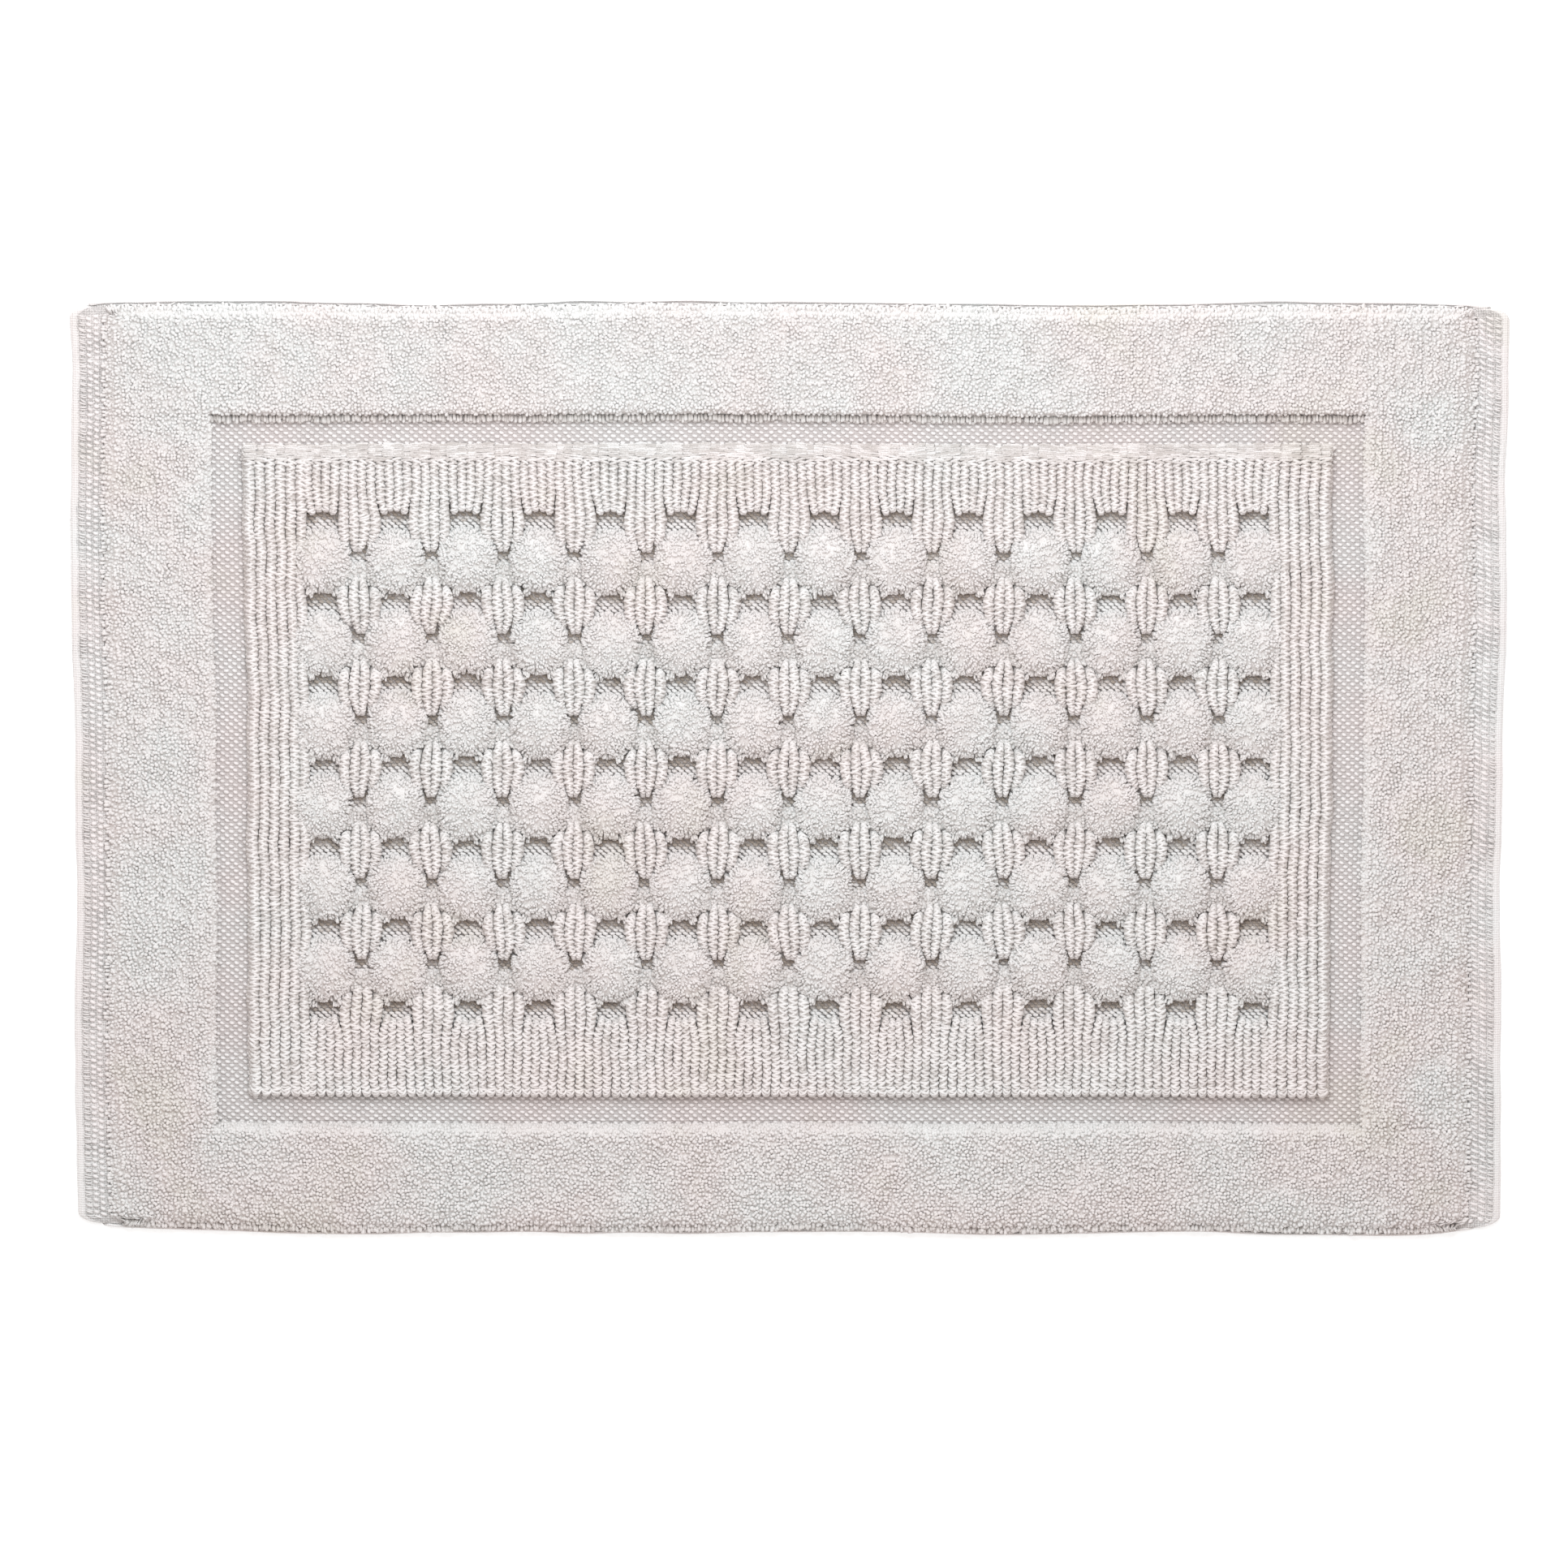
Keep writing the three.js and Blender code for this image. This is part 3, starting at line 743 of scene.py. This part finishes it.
def pocket_weave(side, rng):
    parts = []
    for y in [POCKET_BACK_Y, *(np.array(ROW_Y) - ROW_PITCH / 2)]:
        for x in half_of_row(COLUMN_X, side):
            parts.append(pocket_floats(x - 9, x + 9, y - 7, y + 7, rng))
    for y in ROW_Y:
        for x in half_of_row(GAP_X, side):
            parts.append(pocket_floats(x - 5, x + 5, y - 6, y + 8, rng))
    return parts


def ground_sheet():
    """The woven cloth itself, as a closed thin sheet with a faint rib."""
    x, y = grid(GROUND_LOW[0], GROUND_HIGH[0], GROUND_LOW[1] + 1.5, GROUND_HIGH[1] - 1.5, 5.0)
    top = GROUND_TOP - 0.35 + 0.08 * ripple(x, y, 9, SEED + 21)
    return height_slab(x, y, top, GROUND_LOW[2])


# ---- hems, threads and backing ----
def strip(profile, start, end, step, axis, side, rng_seed, end_round=0.4, tones=1.0):
    """A closed section swept along the mat: profile holds (distance from the middle, z) points."""
    profile = np.array(profile, float)
    count = max(2, round((end - start) / step)) + 1
    along = np.linspace(start, end, count)
    end_drop = rounded(np.minimum(along - start, end - along) + 0.5, end_round)[:, None]
    wave = 0.22 * ripple(along, along * 0, 46, rng_seed)[:, None]
    across = side * (profile[:, 0][None] + wave)
    uneven = 0.1 * ripple(along, along * 0, 23, rng_seed + 1)[:, None] * (profile[:, 1] > 1)
    up = (profile[:, 1][None] + uneven) * end_drop
    run = np.repeat(along[:, None], len(profile), axis=1)
    points = np.stack([across, run, up] if axis == "y" else [run, across, up], axis=-1)
    walls, start_cap, end_cap = tube_faces(1, count, len(profile))
    faces = [walls, start_cap, end_cap]
    if (side > 0) != (axis == "y"):
        faces = [array[:, ::-1] for array in faces]
    return points.reshape(-1, 3), faces, [], np.tile(np.broadcast_to(tones, len(profile)), count)


def side_hem(side):
    """The cloth folded round a side edge: a C section with a soft rolled edge."""
    inner, outer, top = HEM_LOW[0], HEM_HIGH[0], HEM_HIGH[2] - 0.5
    roll = outer - 2.4
    profile = [
        (inner - 0.3, top - 0.4), (inner + 2.0, top - 0.55), (roll - 2.0, top - 0.55),
        (roll - 0.3, top + 0.2), (outer - 0.9, top - 0.5), (outer, top - 1.6),
        (outer - 0.2, 1.1), (outer - 1.2, 0.3), (roll - 1.5, 0.05), (inner - 0.3, 0.05),
        (inner - 0.3, 0.95), (roll - 1.5, 0.95), (outer - 1.7, 1.3),
        (outer - 1.4, 2.1), (outer - 1.9, 2.8), (roll - 1.0, 3.05), (inner - 0.3, 3.05),
    ]
    tones = np.full(len(profile), 0.6)
    # The valley between the hem's raised yarns gets painted shade.
    tones[:3] = (0.3, -0.3, -0.3)
    return strip(profile, -HEM_HALF_Y, HEM_HALF_Y, 1.5, "y", side, SEED + 31, 4.5, tones)


def column_floats(x, shift, slant, half_length, radius, z, rng):
    y = np.arange(shift - HEM_HALF_Y + 6.0, HEM_HALF_Y - 6.0, HEM_PITCH_Y)
    return yarn_floats(np.full(len(y), x), y, z, slant, half_length, radius, rng, dip=0.7)


def hem_weave(side, rng):
    """The raised yarns of a side hem: two columns, of ovals on the left and slants on the right."""
    z = HEM_HIGH[2] - 0.8
    if side < 0:
        columns = [(3.6, 0.5, 0.35, 1.4, 1.05), (7.3, 0.0, 0.35, 1.4, 1.05)]
    else:
        columns = [(3.0, 0.0, 0.5, 2.2, 0.86), (7.3, 0.4, 0.5, 2.2, 0.86)]
    return [
        column_floats(side * (HEM_LOW[0] + x), shift * HEM_PITCH_Y, slant, half, radius, z, rng)
        for x, shift, slant, half, radius in columns
    ]


def side_thread(side, rng):
    """The overedge stitches next to the rolled edge: pairs of slanted strands."""
    x = side * (HEM_LOW[0] + (11.6 if side > 0 else 11.0))
    slant = 0.3 if side > 0 else 0.2
    return [
        column_floats(x, shift, slant, 1.9, 0.55, HEM_HIGH[2] - 0.45, rng)
        for shift in (0.0, 1.05)
    ]


def end_hem(sign):
    """The cloth turned under at the back or front: a flap beneath and a low wall outside the pile."""
    inner, outer, top = END_HEM_LOW[1], END_HEM_HIGH[1], END_HEM_HIGH[2]
    wall = END_HEM_HIGH[1] - 1.4
    profile = [
        (wall + 0.1, top - 0.2), (wall + 0.7, top), (outer - 0.2, top - 0.4), (outer, top - 1.3),
        (outer - 0.1, 0.9), (outer - 0.9, 0.15), (wall - 1.0, 0.02), (inner, 0.02),
        (inner, 0.85), (wall - 1.0, 0.9), (wall + 0.1, 1.3),
    ]
    return strip(profile, -END_HEM_HALF_X, END_HEM_HALF_X, 3.0, "x", sign, SEED + 33, end_round=16.0)


def end_thread(sign, rng):
    """A running stitch along the fold of a front or back hem."""
    pitch, half = 6.5, 2.6
    x = np.arange(END_THREAD_LOW[0] + half, END_THREAD_HIGH[0] - half, pitch)
    y = np.full(len(x), sign * (END_THREAD_LOW[1] + END_THREAD_HIGH[1]) / 2)
    return [yarn_floats(x, y, END_THREAD_HIGH[2] - 0.3, 0.0, half, 0.42, rng, dip=0.5)]


def backing():
    """The rubbery coat under the cloth, with a faintly pebbled underside."""
    x, y = grid(COAT_LOW[0], COAT_HIGH[0], COAT_LOW[1], COAT_HIGH[1], 5.0)
    bottom = 0.12 + 0.1 * ripple(x, y, 11, SEED + 35).clip(-1, 1)
    return height_slab(x, y, COAT_HIGH[2] + 0.0 * x, bottom)


# ---- meshes and materials ----
def round_corners(x, y):
    """Draws the corners of the mat's outline in to quarter ellipses, longer along the front."""
    long_round, short_round = np.where(y > 0, 30.0, 44.0), np.where(y > 0, 9.0, 10.0)
    past_x = np.maximum(np.abs(x) - HEM_HIGH[0] + long_round, 0) / long_round
    past_y = np.maximum(np.abs(y) - END_HEM_HIGH[1] + short_round, 0) / short_round
    share = np.maximum(past_x, past_y) / np.maximum(np.hypot(past_x, past_y), 1e-9)
    inside = (past_x == 0) | (past_y == 0)
    draw = np.where(inside, 0.0, 1 - share)
    return x - np.sign(x) * past_x * long_round * draw, y - np.sign(y) * past_y * short_round * draw


def settle(points):
    """The mat's shape as it lies: rounded corners, and an outline that wanders a little."""
    x, y = round_corners(points[:, 0], points[:, 1])
    shift_x = 0.5 * ripple(x * 0.5, y, 150, SEED + 41) * np.abs(x) / BORDER_HALF_X
    shift_y = 0.6 * ripple(x, y * 0.5, 190, SEED + 42) * np.abs(y) / BORDER_HALF_Y
    return np.column_stack([x + shift_x, y + shift_y, points[:, 2]])


def make_piece(name, parts, material, nodes=()):
    points, smooth, flat, shades = join(parts)
    faces = smooth + flat
    mesh = bpy.data.meshes.new(name)
    mesh.vertices.add(len(points))
    mesh.vertices.foreach_set("co", (settle(points) * MM).astype(np.float32).ravel())
    corners = np.concatenate([array.ravel() for array in faces]).astype(np.int32)
    sizes = np.concatenate([np.full(len(array), array.shape[1]) for array in faces])
    starts = np.concatenate([[0], np.cumsum(sizes)[:-1]]).astype(np.int32)
    mesh.loops.add(len(corners))
    mesh.loops.foreach_set("vertex_index", corners)
    mesh.polygons.add(len(sizes))
    mesh.polygons.foreach_set("loop_start", starts)
    is_smooth = np.arange(len(sizes)) < sum(len(array) for array in smooth)
    mesh.polygons.foreach_set("use_smooth", is_smooth)
    # Each point's tone: the yarn's random tone plus the painted shade the parts give.
    shade = mesh.attributes.new("strand_tone_and_painted_shade", "FLOAT", "POINT")
    shade.data.foreach_set("value", shades.astype(np.float32))
    mesh.update(calc_edges=True)
    mesh.materials.append(material)
    piece = bpy.data.objects.new(name, mesh)
    bpy.context.scene.collection.objects.link(piece)
    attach(piece, "root")
    if nodes:
        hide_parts(*nodes)
    return piece


# The places along the noise, and the tints, of the mottling: pinkish, a cool white, and a little beige.
MOTTLE = ((0.41, (1.0, 0.965, 0.955)), (0.62, (0.988, 1.0, 0.993)), (0.32, (0.975, 0.95, 0.915)))


def cotton(name, dark, light, bump_scale, bump_depth, sheen=0.25, woven=0.0):
    """Cotton: each yarn's own tone plus the painted shade read from the mesh, fibre noise, broad soft
    mottling, and yarns woven at a pitch.
    """
    material = bpy.data.materials.new(name)
    material.use_nodes = True
    nodes, links = material.node_tree.nodes, material.node_tree.links
    shader = nodes["Principled BSDF"]
    shader.inputs["Sheen Weight"].default_value = sheen
    shader.inputs["Sheen Roughness"].default_value = 0.6
    shader.inputs["Specular IOR Level"].default_value = 0.2
    place = nodes.new("ShaderNodeTexCoord")

    def noise(scale, detail):
        node = nodes.new("ShaderNodeTexNoise")
        node.inputs["Scale"].default_value = scale
        node.inputs["Detail"].default_value = detail
        links.new(place.outputs["Object"], node.inputs["Vector"])
        return node.outputs["Fac"]

    def ramp(source, *stops):
        node = nodes.new("ShaderNodeValToRGB")
        elements = node.color_ramp.elements
        for number, (position, colour) in enumerate(stops):
            element = elements[number] if number < 2 else elements.new(position)
            element.position, element.color = position, (*colour, 1)
        links.new(source, node.inputs["Fac"])
        return node.outputs["Color"]

    def yarns(direction):
        node = nodes.new("ShaderNodeTexWave")
        node.bands_direction = direction
        node.inputs["Scale"].default_value = WAVE_PERIOD / woven
        node.inputs["Distortion"].default_value = 1.2
        node.inputs["Detail Scale"].default_value = 2.0
        links.new(place.outputs["Object"], node.inputs["Vector"])
        return node.outputs["Fac"]

    def sum_of(first, second, share):
        node = nodes.new("ShaderNodeMath")
        node.operation = "MULTIPLY_ADD"
        node.inputs[1].default_value = share
        links.new(first, node.inputs[0])
        links.new(second, node.inputs[2])
        return node.outputs[0]

    strand_tone_and_painted_shade = nodes.new("ShaderNodeAttribute")
    strand_tone_and_painted_shade.attribute_name = "strand_tone_and_painted_shade"
    fibre = noise(1400, 2)
    tone = sum_of(strand_tone_and_painted_shade.outputs["Fac"], fibre, 0.45)
    tone = sum_of(noise(85, 2), tone, 0.5)
    height = noise(bump_scale, 3)
    if woven:
        cross = sum_of(yarns("X"), yarns("Y"), 1.0)
        height = sum_of(cross, height, 0.8)
        tone = sum_of(cross, tone, 0.12)
    yarn = ramp(tone, (0.55, dark), (1.25, light))
    mottle = ramp(noise(14, 3), *MOTTLE)
    tint = nodes.new("ShaderNodeMix")
    tint.data_type = "RGBA"
    tint.blend_type = "MULTIPLY"
    tint.inputs["Factor"].default_value = 1.0
    links.new(yarn, tint.inputs["A"])
    links.new(mottle, tint.inputs["B"])
    links.new(tint.outputs["Result"], shader.inputs["Base Color"])
    rough = nodes.new("ShaderNodeMapRange")
    rough.inputs["To Min"].default_value = 0.85
    rough.inputs["To Max"].default_value = 1.0
    links.new(fibre, rough.inputs["Value"])
    links.new(rough.outputs["Result"], shader.inputs["Roughness"])
    bump = nodes.new("ShaderNodeBump")
    bump.inputs["Strength"].default_value = 0.6
    bump.inputs["Distance"].default_value = bump_depth
    links.new(height, bump.inputs["Height"])
    links.new(bump.outputs["Normal"], shader.inputs["Normal"])
    return material


# ---- camera, light and floor ----
TILT = math.radians(12)
CAMERA_DISTANCE = 8.0
FRAME_WIDTH = 0.8365      # metres across the picture at the mat
AIM_X, AIM_Y = -0.0026, -0.0080
KEY_PLACE = (-0.05, 0.87, 1.34)
KEY_SIZE = 1.05
KEY_WATTS = 17.3
KEY_COLOUR = (0.92, 0.985, 1.03)
SKY_COLOUR = (1, 0.91, 0.895, 1)
SKY_STRENGTH = 0.68
FLOOR_HALF = 6.0
FLOOR_COLOUR = (0.97, 0.97, 0.97, 1)
FLOOR_GLOW = (0.9, 1.0, 1.0, 1)
FLOOR_GLOW_STRENGTH = 0.3
FLOOR_BELOW = 0.0005      # the floor lies this far under the mat


def add_camera():
    data = bpy.data.cameras.new("camera")
    data.sensor_width = 36
    data.lens = data.sensor_width * CAMERA_DISTANCE / FRAME_WIDTH
    data.clip_end = 100
    camera = bpy.data.objects.new("camera", data)
    bpy.context.scene.collection.objects.link(camera)
    back = CAMERA_DISTANCE * math.sin(TILT)
    camera.location = (AIM_X, AIM_Y + back, CAMERA_DISTANCE * math.cos(TILT))
    camera.rotation_euler = (-TILT, 0, 0)
    bpy.context.scene.camera = camera


def add_area_light(name, place, aim, size, power, colour):
    data = bpy.data.lights.new(name, "AREA")
    data.shape = "DISK"
    data.size = size
    data.energy = power
    data.color = colour
    light = bpy.data.objects.new(name, data)
    bpy.context.scene.collection.objects.link(light)
    light.location = place
    light.rotation_euler = (Vector(aim) - Vector(place)).to_track_quat("-Z", "Y").to_euler()


def add_lights():
    """One soft key light from behind the mat, a warm sky for the rest, and a white backdrop."""
    add_area_light("key", KEY_PLACE, (0, 0, 0), KEY_SIZE, KEY_WATTS, KEY_COLOUR)
    world = bpy.data.worlds.new("studio")
    world.use_nodes = True
    nodes, links = world.node_tree.nodes, world.node_tree.links
    nodes["Background"].inputs["Color"].default_value = SKY_COLOUR
    nodes["Background"].inputs["Strength"].default_value = SKY_STRENGTH
    backdrop = nodes.new("ShaderNodeBackground")
    choose = nodes.new("ShaderNodeMixShader")
    ray = nodes.new("ShaderNodeLightPath")
    backdrop.inputs["Color"].default_value = (1, 1, 1, 1)
    links.new(ray.outputs["Is Camera Ray"], choose.inputs["Fac"])
    links.new(nodes["Background"].outputs["Background"], choose.inputs[1])
    links.new(backdrop.outputs["Background"], choose.inputs[2])
    links.new(choose.outputs["Shader"], nodes["World Output"].inputs["Surface"])
    bpy.context.scene.world = world
    bpy.context.scene.view_settings.view_transform = "Standard"


def add_floor():
    half = FLOOR_HALF
    corners = [(-half, -half, 0), (half, -half, 0), (half, half, 0), (-half, half, 0)]
    mesh = bpy.data.meshes.new("floor")
    mesh.from_pydata(corners, [], [(0, 1, 2, 3)])
    floor = bpy.data.objects.new("floor", mesh)
    bpy.context.scene.collection.objects.link(floor)
    floor.location.z = -FLOOR_BELOW
    material = bpy.data.materials.new("floor_white")
    material.use_nodes = True
    shader = material.node_tree.nodes["Principled BSDF"]
    shader.inputs["Base Color"].default_value = FLOOR_COLOUR
    shader.inputs["Roughness"].default_value = 1.0
    shader.inputs["Specular IOR Level"].default_value = 0.0
    shader.inputs["Emission Color"].default_value = FLOOR_GLOW
    shader.inputs["Emission Strength"].default_value = FLOOR_GLOW_STRENGTH
    mesh.materials.append(material)


# ---- the mat ----
def turned(points, side, sign):
    """A quarter's outline mirrored to its place, still walked with the open side on the left."""
    mirrored = [(side * px, sign * py) for px, py in points]
    return mirrored if side * sign > 0 else mirrored[::-1]


def make_border(material, rng):
    """The border in twelve abutting lengths: four along each long side and two down each short one."""
    x, y, cx, cy = BORDER_HALF_X, BORDER_HALF_Y, CHANNEL_OUTER_X, CHANNEL_OUTER_Y
    mid = BORDER_HALF_X / 2
    for end, sign in ENDS:
        low_y, high_y = sorted((sign * cy, sign * y))
        for number, side in enumerate((-1, -1, 1, 1)):
            far = number in (0, 3)
            near_x, far_x = (mid, x) if far else (0, mid)
            outlines = [([(near_x, y), (far_x, y)], BACK_FACE if sign > 0 else FRONT_FACE)]
            channel_face = BACK_CHANNEL_FACE if sign > 0 else CHANNEL_FACE
            outlines.append(([(cx if far else mid, cy), (near_x, cy)], channel_face))
            if far:
                outlines.append(([(x, y), (x, cy)], SIDE_FACE))
            edges = [(turned(points, side, sign), face) for points, face in outlines]
            low_x, high_x = sorted((side * near_x, side * far_x))
            parts = border_bar(low_x, high_x, low_y, high_y, edges, rng)
            name = f"{end}_border_{number + 1}"
            make_piece(name, parts, material, [f"border_pile_{end}"])
    for name, side in SIDES:
        low_x, high_x = sorted((side * cx, side * x))
        for number, (low_y, high_y) in enumerate(((0, cy), (-cy, 0))):
            outlines = [([(x, high_y), (x, low_y)], SIDE_FACE)]
            outlines.append(([(cx, low_y), (cx, high_y)], CHANNEL_FACE))
            edges = [(turned(points, side, 1), face) for points, face in outlines]
            parts = border_bar(low_x, high_x, low_y, high_y, edges, rng)
            nodes = [f"border_pile_{name}"]
            make_piece(f"{name}_border_{number + 1}", parts, material, nodes)


def make_panel(cut_pile, loop_pile, rng):
    for row in range(PEBBLE_ROWS):
        for name, side in SIDES:
            parts = pebble_row(row, side, rng)
            nodes = [f"pebble_row_{row + 1}"]
            make_piece(f"pebbles_{row + 1}_{name}", parts, cut_pile, nodes)
    for row in range(PEBBLE_ROWS - 1):
        nodes = [f"loop_lozenge_row_{row + 1}"]
        make_piece(f"lozenges_{row + 1}", lozenge_row(row, rng), loop_pile, nodes)
    for end, back in (("back", True), ("front", False)):
        for name, side in SIDES:
            parts = margin_end(back, side, rng)
            make_piece(f"ribs_{end}_{name}", parts, loop_pile, [f"loop_margin_{end}"])
    for name, side in SIDES:
        parts = margin_side(side, rng)
        make_piece(f"ribs_{name}", parts, loop_pile, [f"loop_margin_{name}"])


def make_ground(rng):
    """The backing coat, the ground cloth and its raised yarns; gives the ground cloth's piece."""
    # The ground cloth's dark colours are painted shade between the raised yarns.
    ground_cotton_painted_shade = cotton(
        "ground_cotton_painted_shade", (0.46, 0.435, 0.42), (0.60, 0.57, 0.56), 900, 0.0004, woven=0.0012
    )
    float_cotton = cotton("float_cotton", (0.76, 0.745, 0.735), (0.90, 0.885, 0.88), 1500, 0.0003)
    # The pocket cloth's dark, brownish end is painted shade.
    pocket_cotton_painted_shade = cotton("pocket_cotton_painted_shade", (0.42, 0.37, 0.32), (0.86, 0.85, 0.84), 900, 0.0004)
    latex = cotton("latex", (0.60, 0.585, 0.55), (0.68, 0.665, 0.63), 260, 0.0005, sheen=0.0)

    coat = make_piece("backcoat", [backing()], latex, ["latex_backcoat"])
    cloth = [ground_sheet()]
    ground = make_piece("ground_weave", cloth, ground_cotton_painted_shade, ["ground_cloth"])
    yarns = [make_piece("channel_yarns", channel_weave(rng), float_cotton)]
    for name, side in SIDES:
        parts = pocket_weave(side, rng)
        yarns.append(make_piece(f"pocket_yarns_{name}", parts, pocket_cotton_painted_shade))
    return ground, float_cotton


def make_hems(float_cotton, rng):
    """The four hems with their stitches, and the raised yarns of the side ones."""
    cloth = cotton("hem_cotton", (0.42, 0.41, 0.40), (0.90, 0.89, 0.88), 1100, 0.0004, woven=0.0013)
    thread_cotton = cotton("thread_cotton", (0.70, 0.69, 0.68), (0.84, 0.83, 0.82), 1900, 0.0002)
    for name, side in SIDES:
        hem = make_piece(f"hem_cloth_{name}", [side_hem(side)], cloth, [f"hem_{name}"])
        yarns = make_piece(f"hem_yarns_{name}", hem_weave(side, rng), float_cotton)
        parts = side_thread(side, rng)
        nodes = [f"hem_thread_{name}"]
        thread = make_piece(f"overedge_{name}", parts, thread_cotton, nodes)
    for name, sign in ENDS:
        hem = make_piece(f"hem_cloth_{name}", [end_hem(sign)], cloth, [f"hem_{name}"])
        parts = end_thread(sign, rng)
        nodes = [f"hem_thread_{name}"]
        thread = make_piece(f"stitches_{name}", parts, thread_cotton, nodes)


def main():
    rng = np.random.default_rng(SEED)
    add_camera()
    add_lights()
    add_floor()
    cut_pile = cotton("cut_pile_cotton", (0.67, 0.645, 0.62), (0.872, 0.862, 0.852), 2600, 0.0004)
    loop_pile = cotton("loop_cotton", (0.62, 0.59, 0.565), (0.89, 0.877, 0.867), 2000, 0.0003)
    make_border(cut_pile, rng)
    make_panel(cut_pile, loop_pile, rng)
    ground, float_cotton = make_ground(rng)
    make_hems(float_cotton, rng)


main()
